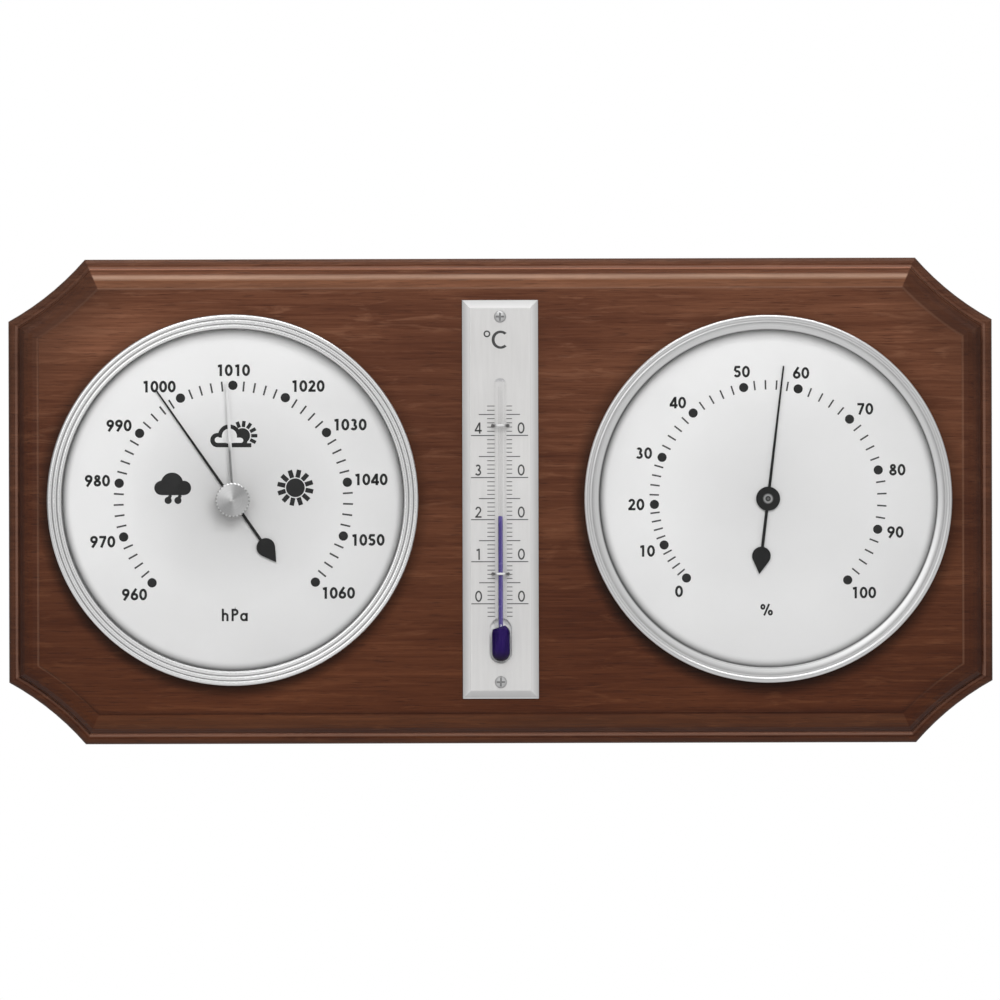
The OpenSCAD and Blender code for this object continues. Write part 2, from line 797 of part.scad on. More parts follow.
module tube_clip_lower() {
    tube_clip(-lower_clip_y);
}

// Spun case of a round instrument: cup, flange on the board and rim for the bezel
module instrument_case(bezel_r, floor_screw_r, floor_screw_angles, access_y) {
    rim_r = bezel_r - bezel_wall - snap_gap;
    difference() {
        rotate_extrude() polygon([
            [0, floor_z], [cup_r, floor_z], [cup_r, board_t], [rim_r, board_t],
            [rim_r, rim_top_z], [rim_r - case_t, rim_top_z], [rim_r - case_t, dial_z],
            [cup_r - case_t, dial_z], [cup_r - case_t, inner_floor_z], [0, inner_floor_z]
        ]);
        around(case_screw_circle_r, case_screw_angles) {
            hole(screw_bore_r, board_t, flange_t);
            translate([0, 0, dial_z]) countersink();
        }
        around(floor_screw_r, floor_screw_angles) hole(machine_bore_r, floor_z, case_t);
        translate([0, access_y, 0]) hole(adjuster_head_r + access_gap, floor_z, case_t);
    }
}

module instrument_case_screws() {
    around(case_screw_circle_r, case_screw_angles)
        translate([0, 0, dial_z - head_flush_gap]) wood_screw(wood_screw_len);
}

module instrument_dial(bezel_r) {
    translate([0, 0, dial_z]) ring(bezel_r - bezel_wall - snap_gap - case_t - drop_in_gap,
        dial_bore_r, dial_t);
}

module instrument_glass_ring(bezel_r, sight_r) {
    translate([0, 0, ring_z]) ring(bezel_r - bezel_wall - snap_gap - case_t - drop_in_gap,
        sight_r + ring_inset, glass_ring_h);
}

function glass_disc_r(bezel_r) = bezel_r - bezel_wall - snap_gap - case_t - drop_in_gap;

module barometer_case() {
    color("darkgoldenrod") stand_up() translate(baro_at)
        instrument_case(baro_bezel_r, pillar_circle_r, arm_angles, capsule_y);
}

module barometer_case_screws() {
    color("silver") stand_up() translate(baro_at) instrument_case_screws();
}

// Reeded ring: a wall round the case's rim, a lip over the glass and rows of reeds
module barometer_bezel() {
    wall_r = baro_bezel_r - wall_inset;
    color("silver") stand_up() translate(baro_at) rotate_extrude() difference() {
        union() {
            translate([baro_sight_r, board_t + bezel_lift])
                square([wall_r - baro_sight_r, lip_z + lip_t - board_t - bezel_lift]);
            for (i = [0 : reed_count - 1])
                translate([baro_sight_r + reed_r + i * reed_pitch, lip_z + lip_t])
                    circle(r = reed_r);
        }
        square([baro_bezel_r - bezel_wall, lip_z]);
    }
}

module barometer_glass() {
    color([0.9, 0.95, 1, 0.3]) stand_up() translate(baro_at + [0, 0, glass_z])
        ring(glass_disc_r(baro_bezel_r), bush_r + running_gap, glass_t);
}

module barometer_glass_ring() {
    color("gray") stand_up() translate(baro_at) instrument_glass_ring(baro_bezel_r, baro_sight_r);
}

module barometer_dial() {
    color("whitesmoke") stand_up() translate(baro_at) instrument_dial(baro_bezel_r);
}

module movement_base() {
    color("goldenrod") stand_up() translate(baro_at) difference() {
        translate([0, 0, inner_floor_z]) cylinder(r = movement_r, h = base_t);
        around(pillar_circle_r, arm_angles) hole(machine_bore_r, inner_floor_z, base_t);
        translate([0, capsule_y, 0]) hole(adjuster_r + running_gap, inner_floor_z, base_t);
    }
}

module movement_base_screws() {
    color("silver") stand_up() translate(baro_at)
        around(pillar_circle_r, arm_angles) translate([0, 0, floor_z]) mirror([0, 0, 1])
            machine_screw(case_t + base_t + machine_screw_len);
}

module movement_pillars() {
    height = bridge_z - base_front_z;
    color("goldenrod") stand_up() translate(baro_at)
        around(pillar_circle_r, arm_angles) translate([0, 0, base_front_z]) difference() {
            cylinder(r = pillar_r, h = height);
            hole(machine_bore_r, 0, machine_screw_len - hole_over / 2);
            translate([0, 0, height - machine_screw_len - hole_over / 2])
                cylinder(r = machine_bore_r, h = machine_screw_len + 2 * hole_over);
        }
}

// Spider that carries the back pivots: three arms, and a bar to the sector's axis
module spider(z) {
    difference() {
        translate([0, 0, z]) union() {
            for (a = arm_angles) rotate([0, 0, a])
                translate([0, -arm_w / 2, 0]) cube([pillar_circle_r, arm_w, plate_t]);
            around(pillar_circle_r, arm_angles) cylinder(r = arm_w / 2, h = plate_t);
            translate([ear_left_x - ear_t, lever_y - ear_w / 2, 0])
                cube([sector_x - ear_left_x + ear_t, 2 * (ear_w / 2 - lever_y), plate_t]);
            translate([sector_x, 0, 0]) cylinder(r = sector_hub_r, h = plate_t);
        }
        hole(pivot_bore_r, z, plate_t);
        translate([sector_x, 0, 0]) hole(pivot_bore_r, z, plate_t);
        around(pillar_circle_r, arm_angles) hole(machine_bore_r, z, plate_t);
    }
}

module movement_bridge() {
    color("goldenrod") stand_up() translate(baro_at) {
        spider(bridge_z);
        for (x = [ear_left_x, ear_right_x]) difference() {
            translate([x - ear_t / 2, lever_y - ear_w / 2, lever_z - ear_drop])
                cube([ear_t, ear_w, bridge_z - lever_z + ear_drop]);
            translate([x - ear_t, lever_y, lever_z]) rotate([0, 90, 0])
                cylinder(r = lever_shaft_r + running_gap, h = 2 * ear_t);
        }
    }
}

module movement_spacers() {
    color("goldenrod") stand_up() translate(baro_at)
        around(pillar_circle_r, arm_angles) translate([0, 0, bridge_front_z])
            ring(pillar_r, machine_bore_r, top_plate_z - bridge_front_z);
}

module movement_top_plate() {
    color("goldenrod") stand_up() translate(baro_at) spider(top_plate_z);
}

module movement_top_screws() {
    color("silver") stand_up() translate(baro_at)
        around(pillar_circle_r, arm_angles) translate([0, 0, top_plate_front_z])
            machine_screw(top_plate_front_z - bridge_z + machine_screw_len);
}

// Half profile of the capsule's side that faces out, from its rim to its middle
function corrugations() = [
    for (i = [0 : floor((capsule_r - capsule_rim_w - capsule_flat_r) / corrugation_pitch * 2)])
        [capsule_flat_r + i * corrugation_pitch / 2, i % 2 == 0 ? 0 : corrugation_h]
];

module aneroid_capsule() {
    half = capsule_h / 2;
    rings = corrugations();
    last = len(rings) - 1;
    color("peru") stand_up() translate(baro_at + [0, capsule_y, 0]) {
        translate([0, 0, base_front_z])
            ring(capsule_flat_r, adjuster_r + contact_gap, capsule_boss_h);
        translate([0, 0, capsule_z + half]) rotate_extrude() polygon([
            [0, -half],
            for (p = rings) [p[0], -half + p[1]],
            [rings[last][0] + capsule_weld_w, -capsule_rim_t / 2],
            [capsule_r, -capsule_rim_t / 2],
            [capsule_r, capsule_rim_t / 2],
            [rings[last][0] + capsule_weld_w, capsule_rim_t / 2],
            for (i = [0 : last]) [rings[last - i][0], half - rings[last - i][1]],
            [0, half]
        ]);
    }
}

module capsule_post() {
    foot_z = capsule_top_z + post_foot_gap;
    color("silver") stand_up() translate(baro_at + [0, capsule_y, 0]) {
        translate([0, 0, foot_z]) cylinder(r = post_foot_r, h = post_foot_h);
        translate([0, 0, foot_z]) cylinder(r = post_r, h = lever_z - contact_gap - foot_z);
    }
}

// Slotted adjusting screw, turned from behind through the case's floor
module adjuster_screw(length) {
    head_z = inner_floor_z - adjuster_lift - adjuster_head_h;
    difference() {
        translate([0, 0, head_z]) union() {
            cylinder(r = adjuster_head_r, h = adjuster_head_h);
            cylinder(r = adjuster_r, h = length);
        }
        translate([-2 * adjuster_head_r, -slot_w, head_z - hole_over])
            cube([4 * adjuster_head_r, 2 * slot_w, hole_over + slot_d]);
    }
}

module pressure_adjuster() {
    color("goldenrod") stand_up() translate(baro_at + [0, capsule_y, 0])
        adjuster_screw(adjuster_head_h + adjuster_lift + base_t + capsule_boss_h
            - adjuster_tip_gap);
}

// Shaft with a flat bar over the capsule's post and a ball-ended rod beside the sector's tail
module rocking_lever() {
    left = ear_left_x - ear_t / 2 - lever_end;
    right = sector_x + tail_arm + lever_shaft_r;
    color("silver") stand_up() translate(baro_at + [0, lever_y, lever_z]) {
        translate([left, 0, 0]) rotate([0, 90, 0]) cylinder(r = lever_shaft_r, h = right - left);
        translate([-lever_bar_w / 2, -lever_shaft_r / 2, 0])
            cube([lever_bar_w, lever_shaft_r / 2 + post_arm + lever_bar_end, lever_bar_t]);
        translate([sector_x + tail_arm, 0, 0]) {
            cylinder(r = lever_rod_r, h = tail_arm);
            translate([0, 0, tail_arm]) sphere(r = ball_r);
        }
    }
}

module sector_gear() {
    blank_r = sector_pitch_r - dedendum;
    first_deg = -(sector_teeth_before + 0.5) * 360 / sector_full_teeth;
    last_deg = (sector_teeth_after - 0.5) * 360 / sector_full_teeth;
    teeth = tooth_points(sector_full_teeth, sector_pitch_r,
        -sector_teeth_before + 0.5, sector_teeth_after - 0.5);
    color("gold") stand_up() translate(baro_at + [sector_x, 0, sector_z]) difference() {
        union() {
            linear_extrude(height = sector_t) rotate(180)
                polygon([[0, 0], [blank_r * cos(first_deg), blank_r * sin(first_deg)],
                    for (p = teeth) p, [blank_r * cos(last_deg), blank_r * sin(last_deg)]]);
            cylinder(r = sector_hub_r, h = sector_t);
            translate([0, -tail_w / 2, 0]) cube([tail_arm + ball_r + tail_end, tail_w, sector_t]);
        }
        hole(arbor_r, 0, sector_t);
    }
}

// Plain shaft with running ends in the bridge and the top plate
module sector_arbor() {
    color("silver") stand_up() translate(baro_at + [sector_x, 0, 0]) {
        translate([0, 0, bridge_z + arbor_end_lift])
            cylinder(r = arbor_r, h = top_plate_front_z - bridge_z - 2 * arbor_end_lift);
        translate([0, 0, bridge_front_z + collar_gap]) cylinder(r = collar_r, h = collar_h);
        translate([0, 0, sector_z + sector_t]) cylinder(r = collar_r, h = collar_h);
    }
}

module pointer_arbor() {
    teeth = tooth_points(pinion_teeth, pinion_pitch_r, 0, pinion_teeth - 1);
    color("silver") stand_up() translate(baro_at) {
        translate([0, 0, bridge_z + arbor_end_lift])
            cylinder(r = arbor_r, h = arbor_end_z - bridge_z - arbor_end_lift);
        translate([0, 0, sector_z - pinion_overhang])
            linear_extrude(height = sector_t + 2 * pinion_overhang) polygon(teeth);
        translate([0, 0, hairspring_z]) cylinder(r = collet_r, h = hairspring_h);
    }
}

module hairspring() {
    color("steelblue") stand_up() translate(baro_at + [0, 0, hairspring_z])
        spiral_band(hairspring_in_r, hairspring_out_r, hairspring_turns, hairspring_t,
            hairspring_h);
}

module hairspring_stud() {
    at = hairspring_out_r + hairspring_t / 2 + stud_r;
    color("goldenrod") stand_up() translate(baro_at + [at, 0, top_plate_front_z])
        cylinder(r = stud_r, h = hairspring_z + hairspring_h - top_plate_front_z);
}

module barometer_pointer() {
    color("black") stand_up() translate(baro_at + [0, 0, pointer_z])
        rotate([0, 0, -baro_rest_deg]) difference() {
            union() {
                linear_extrude(height = hand_t) pointer_outline();
                cylinder(r = pointer_hub_r, h = pointer_hub_h);
            }
            hole(arbor_r, 0, pointer_hub_h);
        }
}

module setting_hand() {
    color("silver") stand_up() translate(baro_at + [0, 0, setting_hand_z])
        rotate([0, 0, -setting_rest_deg]) difference() {
            union() {
                linear_extrude(height = hand_t) polygon([
                    [-setting_root_w / 2, 0], [setting_root_w / 2, 0],
                    [setting_tip_w / 2, setting_len], [-setting_tip_w / 2, setting_len]
                ]);
                cylinder(r = setting_hub_r, h = hand_t);
            }
            hole(stem_r, 0, hand_t);
        }
}

module setting_stem() {
    color("silver") stand_up() translate(baro_at + [0, 0, stem_z])
        cylinder(r = stem_r, h = knob_z + knob_bore_d - stem_z);
}

// Bush that lines the hole in the glass and carries the stem
module setting_bush() {
    color("goldenrod") stand_up() translate(baro_at) rotate_extrude() polygon([
        [stem_r + running_gap, glass_z - bush_lip_t],
        [bush_r + bush_lip_w, glass_z - bush_lip_t],
        [bush_r + bush_lip_w, glass_z],
        [bush_r, glass_z],
        [bush_r, lip_z],
        [bush_r + bush_lip_w, lip_z],
        [bush_r + bush_lip_w, lip_z + bush_lip_t],
        [stem_r + running_gap, lip_z + bush_lip_t]
    ]);
}

// Fluted knob with a shallow cone on its face
module setting_knob() {
    side_h = knob_h - knob_cone_h - knob_edge_h;
    color("silver") stand_up() translate(baro_at + [0, 0, knob_z]) difference() {
        rotate_extrude() polygon([
            [stem_r, 0], [knob_r, 0], [knob_r, side_h], [knob_r - knob_edge_h, side_h + knob_edge_h],
            [0, knob_h], [0, knob_bore_d], [stem_r, knob_bore_d]
        ]);
        for (i = [0 : knob_flutes - 1]) rotate([0, 0, i * 360 / knob_flutes])
            translate([knob_r + flute_r / 3, 0, 0]) hole(flute_r, 0, side_h);
    }
}

module hygrometer_case() {
    color("darkgoldenrod") stand_up() translate(hygro_at)
        instrument_case(hygro_bezel_r, hygro_pillar_x, [0, 180], 0);
}

module hygrometer_case_screws() {
    color("silver") stand_up() translate(hygro_at) instrument_case_screws();
}

// Plain ring: a slightly coned band, a fine groove and a rolled edge
module hygrometer_bezel() {
    wall_r = hygro_bezel_r - wall_inset;
    groove_r = hygro_bezel_r - 2 * roll_r;
    color("silver") stand_up() translate(hygro_at) rotate_extrude() difference() {
        union() {
            polygon([
                [hygro_sight_r, board_t + bezel_lift], [wall_r, board_t + bezel_lift],
                [wall_r, lip_z + lip_t], [groove_r, lip_z + lip_t],
                [groove_r - groove_w, lip_z + lip_t + band_rise],
                [hygro_sight_r, lip_z + lip_t]
            ]);
            translate([hygro_bezel_r - roll_r, lip_z + lip_t]) circle(r = roll_r);
        }
        square([hygro_bezel_r - bezel_wall, lip_z]);
    }
}

module hygrometer_glass() {
    color([0.9, 0.95, 1, 0.3]) stand_up() translate(hygro_at + [0, 0, glass_z])
        cylinder(r = glass_disc_r(hygro_bezel_r), h = glass_t);
}

module hygrometer_glass_ring() {
    color("gray") stand_up() translate(hygro_at)
        instrument_glass_ring(hygro_bezel_r, hygro_sight_r);
}

module hygrometer_dial() {
    color("whitesmoke") stand_up() translate(hygro_at) instrument_dial(hygro_bezel_r);
}

// Flat bar across the two pillars, with a bore in its middle
module hygro_bar(z, thickness, bore) {
    half = hygro_pillar_x + hygro_bar_over;
    difference() {
        translate([-half, -hygro_bar_w / 2, z]) cube([2 * half, hygro_bar_w, thickness]);
        hole(bore, z, thickness);
        for (s = [-1, 1]) translate([s * hygro_pillar_x, 0, 0])
            hole(machine_bore_r, z, thickness);
    }
}

module hygrometer_base() {
    color("goldenrod") stand_up() translate(hygro_at)
        hygro_bar(inner_floor_z, base_t, adjuster_r + running_gap);
}

module hygrometer_base_screws() {
    color("silver") stand_up() translate(hygro_at) for (s = [-1, 1])
        translate([s * hygro_pillar_x, 0, floor_z]) mirror([0, 0, 1])
            machine_screw(case_t + base_t + machine_screw_len);
}

module hygrometer_pillars() {
    low = inner_floor_z + base_t;
    color("goldenrod") stand_up() translate(hygro_at) for (s = [-1, 1])
        translate([s * hygro_pillar_x, 0, low]) ring(pillar_r, machine_bore_r,
            hygro_bridge_z - low);
}

module hygrometer_bridge() {
    color("goldenrod") stand_up() translate(hygro_at)
        hygro_bar(hygro_bridge_z, plate_t, pivot_bore_r);
}

module hygrometer_bridge_screws() {
    color("silver") stand_up() translate(hygro_at) for (s = [-1, 1])
        translate([s * hygro_pillar_x, 0, hygro_bridge_z + plate_t])
            machine_screw(plate_t + machine_screw_len);
}

// Coil that winds and unwinds with the air's humidity
module humidity_coil() {
    color("tan") stand_up() translate(hygro_at + [0, 0, coil_z])
        spiral_band(coil_in_r, coil_r, coil_turns, coil_band_t, coil_band_w);
}

// Adjusting screw with an arm and a post that hold the coil's outer end
module humidity_adjuster() {
    head_z = inner_floor_z - adjuster_lift - adjuster_head_h;
    color("goldenrod") stand_up() translate(hygro_at) difference() {
        union() {
            adjuster_screw(adjuster_shaft_top - head_z);
            translate([0, -adjuster_arm_w / 2, adjuster_arm_z])
                cube([coil_post_at + coil_post_r, adjuster_arm_w, adjuster_arm_t]);
            translate([coil_post_at, 0, adjuster_arm_z])
                cylinder(r = coil_post_r, h = coil_z + coil_band_w - adjuster_arm_z);
        }
        translate([0, 0, adjuster_shaft_top - arbor_foot_d])
            cylinder(r = pivot_bore_r, h = arbor_foot_d + hole_over);
    }
}

module hygrometer_arbor() {
    foot_z = adjuster_shaft_top - arbor_foot_d + arbor_foot_gap;
    cap_z = pointer_z + hand_t;
    color("silver") stand_up() translate(hygro_at) difference() {
        union() {
            translate([0, 0, foot_z]) cylinder(r = arbor_r, h = cap_z - foot_z);
            translate([0, 0, coil_z]) cylinder(r = collet_r, h = coil_band_w);
            translate([0, 0, cap_z]) cylinder(r = hub_rivet_r, h = rivet_h);
        }
        translate([0, 0, cap_z + rivet_h - spot_d])
            cylinder(r = rivet_dimple_r, h = spot_d + hole_over);
    }
}

module hygrometer_pointer() {
    color("black") stand_up() translate(hygro_at + [0, 0, pointer_z])
        rotate([0, 0, -hygro_rest_deg]) difference() {
            union() {
                linear_extrude(height = hand_t) pointer_outline();
                cylinder(r = hygro_hub_r, h = hand_t);
            }
            hole(arbor_r, 0, hand_t);
        }
}

board();
wall_hanger();
hanger_screws();
thermometer_plate();
plate_screws();
thermometer_tube();
bulb_liquid();
liquid_column();
liquid_meniscus();
tube_clip_upper();
tube_clip_lower();
barometer_case();
barometer_case_screws();
barometer_bezel();
barometer_glass();
barometer_glass_ring();
barometer_dial();
movement_base();
movement_base_screws();
movement_pillars();
movement_bridge();
movement_spacers();
movement_top_plate();
movement_top_screws();
aneroid_capsule();
capsule_post();
pressure_adjuster();
rocking_lever();
sector_gear();
sector_arbor();
pointer_arbor();
hairspring();
hairspring_stud();
barometer_pointer();
setting_hand();
setting_stem();
setting_bush();
setting_knob();
hygrometer_case();
hygrometer_case_screws();
hygrometer_bezel();
hygrometer_glass();
hygrometer_glass_ring();
hygrometer_dial();
hygrometer_base();
hygrometer_base_screws();
hygrometer_pillars();
hygrometer_bridge();
hygrometer_bridge_screws();
humidity_coil();
humidity_adjuster();
hygrometer_arbor();
hygrometer_pointer();
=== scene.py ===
from math import asin, cos, hypot, pi, radians, sin, sqrt

import bpy
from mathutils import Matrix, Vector


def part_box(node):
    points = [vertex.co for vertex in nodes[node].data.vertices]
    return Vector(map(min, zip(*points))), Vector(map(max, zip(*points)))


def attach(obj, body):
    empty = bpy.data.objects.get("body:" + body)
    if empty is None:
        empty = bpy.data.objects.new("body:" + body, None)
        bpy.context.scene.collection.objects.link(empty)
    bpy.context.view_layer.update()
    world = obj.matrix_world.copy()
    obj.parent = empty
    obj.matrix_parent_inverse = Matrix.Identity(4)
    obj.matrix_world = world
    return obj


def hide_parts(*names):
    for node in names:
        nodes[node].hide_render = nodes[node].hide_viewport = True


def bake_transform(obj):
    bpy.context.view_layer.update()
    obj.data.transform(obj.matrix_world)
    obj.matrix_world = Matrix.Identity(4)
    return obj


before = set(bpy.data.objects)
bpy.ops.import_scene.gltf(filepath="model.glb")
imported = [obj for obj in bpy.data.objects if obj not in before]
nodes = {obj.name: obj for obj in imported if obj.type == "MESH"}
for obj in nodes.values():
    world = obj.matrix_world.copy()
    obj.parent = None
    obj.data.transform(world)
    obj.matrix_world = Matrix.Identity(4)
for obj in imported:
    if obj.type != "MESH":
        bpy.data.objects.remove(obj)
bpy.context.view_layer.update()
scene = bpy.context.scene

MM = 0.001

# The front, in millimetres. Places are across and up from the board's middle
ROW_Z = 0.45
BARO = (-76.15, ROW_Z)
HYGRO = (76.15, ROW_Z)
PLATE = (0.0, ROW_Z)
BOARD_W, BOARD_H = 280.0, 138.0
CORNER_CUT = (21.8, 17.6)
CORNER_R = 80.0
CHORD = hypot(*CORNER_CUT)
ARC_OUT = sqrt(CORNER_R ** 2 - (CHORD / 2) ** 2)
CORNER_CENTRE = ((BOARD_W - CORNER_CUT[0]) / 2 + CORNER_CUT[1] / CHORD * ARC_OUT,
                 (BOARD_H - CORNER_CUT[1]) / 2 + CORNER_CUT[0] / CHORD * ARC_OUT)
BEVEL = 2.2
# The centres of the round ends of the bulb's slot
SLOT_TOP, SLOT_FOOT = -36.5, -43.05
# The plate's screws lie this far above and below its middle
PLATE_SCREW_Z = 52.0

# Radii round the instruments' axes, in millimetres: the windows, outsides and bores of the
# bezels, the reeds' crests with their painted highlights, the shade that the bezels leave on the
# wood, the knob
BARO_SIGHT, HYGRO_SIGHT = 48.5, 47.95
BARO_RIM, HYGRO_RIM = 52.85, 52.20
BARO_BORE, HYGRO_BORE = 51.35, 50.85
BARO_CRESTS = (49.37, 50.76, 52.10)
SHADE_FROM, SHADE_TO = 52.9, 56.2
KNOB_FACE_R = 4.45
KNOB_FLUTES = 28

# How far the painted dark reflection, a line on the setting hand, leans left of upright, in degrees
HAND_LEAN = 3.87

# Heights above the board's back, in millimetres
DIAL_FACE, PLATE_FACE = 22.0, 23.0
BEZEL_FOOT, GLASS_TOP, LIP = 20.3, 28.0, 28.6

# The photo: millimetres in a pixel, the picture's width in metres, how far it is turned, and
# the pixels where the middles of the instruments and the plate lie
PX = 0.28453
PHOTO_WIDTH = 0.28505
ROLL = radians(0.15)
BARO_PX = (232.26, 499.44)
HYGRO_PX = (767.56, 498.14)
PLATE_PX = (499.95, 498.87)


# Materials

class Nodes:
    """A tree of shader nodes, built a node at a time. What feeds a node is a number, a colour or
    another node's output."""

    def __init__(self, tree):
        self.tree = tree
        self.tree.nodes.clear()

    def add(self, kind, **settings):
        node = self.tree.nodes.new(kind)
        for key, value in settings.items():
            setattr(node, key, value)
        return node

    def link(self, a, b):
        self.tree.links.new(a, b)

    def feed(self, socket, value):
        if hasattr(value, "is_linked"):
            self.link(value, socket)
        elif value is not None:
            socket.default_value = value

    def fill(self, node, **values):
        """Sets inputs of a node, in whose names _ stands for a space."""
        for key, value in values.items():
            node.inputs[key.replace("_", " ")].default_value = value
        return node

    def math(self, operation, a, b=None, clamp=False):
        node = self.add("ShaderNodeMath", operation=operation, use_clamp=clamp)
        self.feed(node.inputs[0], a)
        self.feed(node.inputs[1], b)
        return node.outputs[0]

    def plus(self, a, b):
        return self.math("ADD", a, b)

    def minus(self, a, b):
        return self.math("SUBTRACT", a, b)

    def times(self, a, b):
        return self.math("MULTIPLY", a, b)

    def size(self, a):
        return self.math("ABSOLUTE", a)

    def most(self, a, b):
        return self.math("MAXIMUM", a, b)

    def least(self, a, b):
        return self.math("MINIMUM", a, b)

    def length(self, a, b):
        """Length of the diagonal over two sides."""
        return self.math("SQRT", self.plus(self.times(a, a), self.times(b, b)))

    def span(self, value, low, high, to_low=0.0, to_high=1.0, **settings):
        """Turns a value between low and high into one between to_low and to_high."""
        node = self.add("ShaderNodeMapRange", clamp=True, **settings)
        for socket, v in zip(node.inputs, (value, low, high, to_low, to_high)):
            self.feed(socket, v)
        return node.outputs[0]

    def mix(self, factor, a, b, out):
        """Mixes two shaders into an output node."""
        node = self.add("ShaderNodeMixShader")
        self.link(factor, node.inputs[0])
        self.link(a.outputs[0], node.inputs[1])
        self.link(b.outputs[0], node.inputs[2])
        self.link(node.outputs[0], out.inputs["Surface"])


class Surface(Nodes):
    """A material with one Principled shader."""

    def __init__(self, name, **values):
        self.material = bpy.data.materials.new(name)
        self.material.use_nodes = True
        super().__init__(self.material.node_tree)
        self.out = self.add("ShaderNodeOutputMaterial")
        self.shader = self.add("ShaderNodeBsdfPrincipled")
        self.link(self.shader.outputs[0], self.out.inputs["Surface"])
        self.fill(self.shader, **values)
        self.coord = self.add("ShaderNodeTexCoord").outputs["Object"]

    def axes(self):
        """X, Y and Z of the point, in metres of the frame."""
        split = self.add("ShaderNodeSeparateXYZ")
        self.link(self.coord, split.inputs[0])
        return split.outputs

    def noise(self, scale, detail=4.0, rough=0.55, stretch=(1, 1, 1), distort=0.0):
        mapping = self.fill(self.add("ShaderNodeMapping"), Scale=[scale * s for s in stretch])
        self.link(self.coord, mapping.inputs["Vector"])
        return self.noise_at(mapping.outputs[0], Detail=detail, Roughness=rough,
                             Distortion=distort)

    def noise_at(self, place, **values):
        node = self.fill(self.add("ShaderNodeTexNoise"), Scale=1.0, **values)
        self.link(place, node.inputs["Vector"])
        return node.outputs["Fac"]

    def blend(self, factor, a, b, mode="MIX"):
        node = self.add("ShaderNodeMix", data_type="RGBA", blend_type=mode)
        self.feed(node.inputs[0], factor)
        self.feed(node.inputs[6], a)
        self.feed(node.inputs[7], b)
        return node.outputs[2]

    def ramp(self, value, stops):
        node = self.add("ShaderNodeValToRGB")
        ramp = node.color_ramp
        while len(ramp.elements) < len(stops):
            ramp.elements.new(0.5)
        for element, (at, colour) in zip(ramp.elements, stops):
            element.position = at
            element.color = colour
        self.link(value, node.inputs[0])
        return node.outputs[0]

    def bump(self, height, strength, distance):
        node = self.fill(self.add("ShaderNodeBump"), Strength=strength, Distance=distance)
        self.link(height, node.inputs["Height"])
        return node.outputs[0]

    def colour(self, value):
        self.feed(self.shader.inputs["Base Color"], value)

    def roughness(self, value):
        self.feed(self.shader.inputs["Roughness"], value)

    def normal(self, value):
        self.link(value, self.shader.inputs["Normal"])

    def polish(self, grain, low, high, strength, depth):
        """Roughness between low and high, and a bump, both from one grain."""
        self.roughness(self.span(grain, 0.3, 0.7, low, high))
        self.normal(self.bump(grain, strength, depth))

    def from_axis(self, centre):
        """How far right of an instrument's axis the point lies, and how far above, in metres."""
        x, _, z = self.axes()
        return self.minus(x, centre[0] * MM), self.minus(z, centre[1] * MM)

    def radius_from(self, centre):
        """Distance from an instrument's axis, in metres."""
        return self.length(*self.from_axis(centre))

    def angle_from(self, centre):
        """Angle round an instrument's axis, counted from its right, in radians."""
        right, up = self.from_axis(centre)
        return self.math("ARCTAN2", up, right)

    def rings(self, centre, pitch):
        """Noise that changes only with the distance from an axis: turning marks."""
        combine = self.add("ShaderNodeCombineXYZ")
        self.link(self.times(self.radius_from(centre), 1.0 / pitch), combine.inputs[0])
        return self.noise_at(combine.outputs[0], Detail=2.0)


def rgb(r, g, b):
    """A colour read off a screen, 0 to 255, as the linear values a shader takes."""
    def linear(v):
        v /= 255.0
        return v / 12.92 if v <= 0.04045 else ((v + 0.055) / 1.055) ** 2.4
    return (linear(r), linear(g), linear(b), 1.0)


def grey(v):
    return rgb(v, v, v)


def darker(colour, share):
    return tuple(c * (1.0 - share) for c in colour[:3]) + (1.0,)


def edge_distance(s):
    """How far a point lies inside the board's outline, in millimetres, and whether the nearest
    edge is an arc: 0 or 1."""
    x, _, z = s.axes()
    x = s.times(s.size(x), 1 / MM)
    z = s.times(s.size(z), 1 / MM)
    straight = s.least(s.minus(BOARD_W / 2, x), s.minus(BOARD_H / 2, z))
    from_centre = s.length(s.minus(x, CORNER_CENTRE[0]), s.minus(z, CORNER_CENTRE[1]))
    curved = s.minus(from_centre, CORNER_R)
    return s.least(straight, curved), s.span(s.minus(straight, curved), -0.15, 0.15)


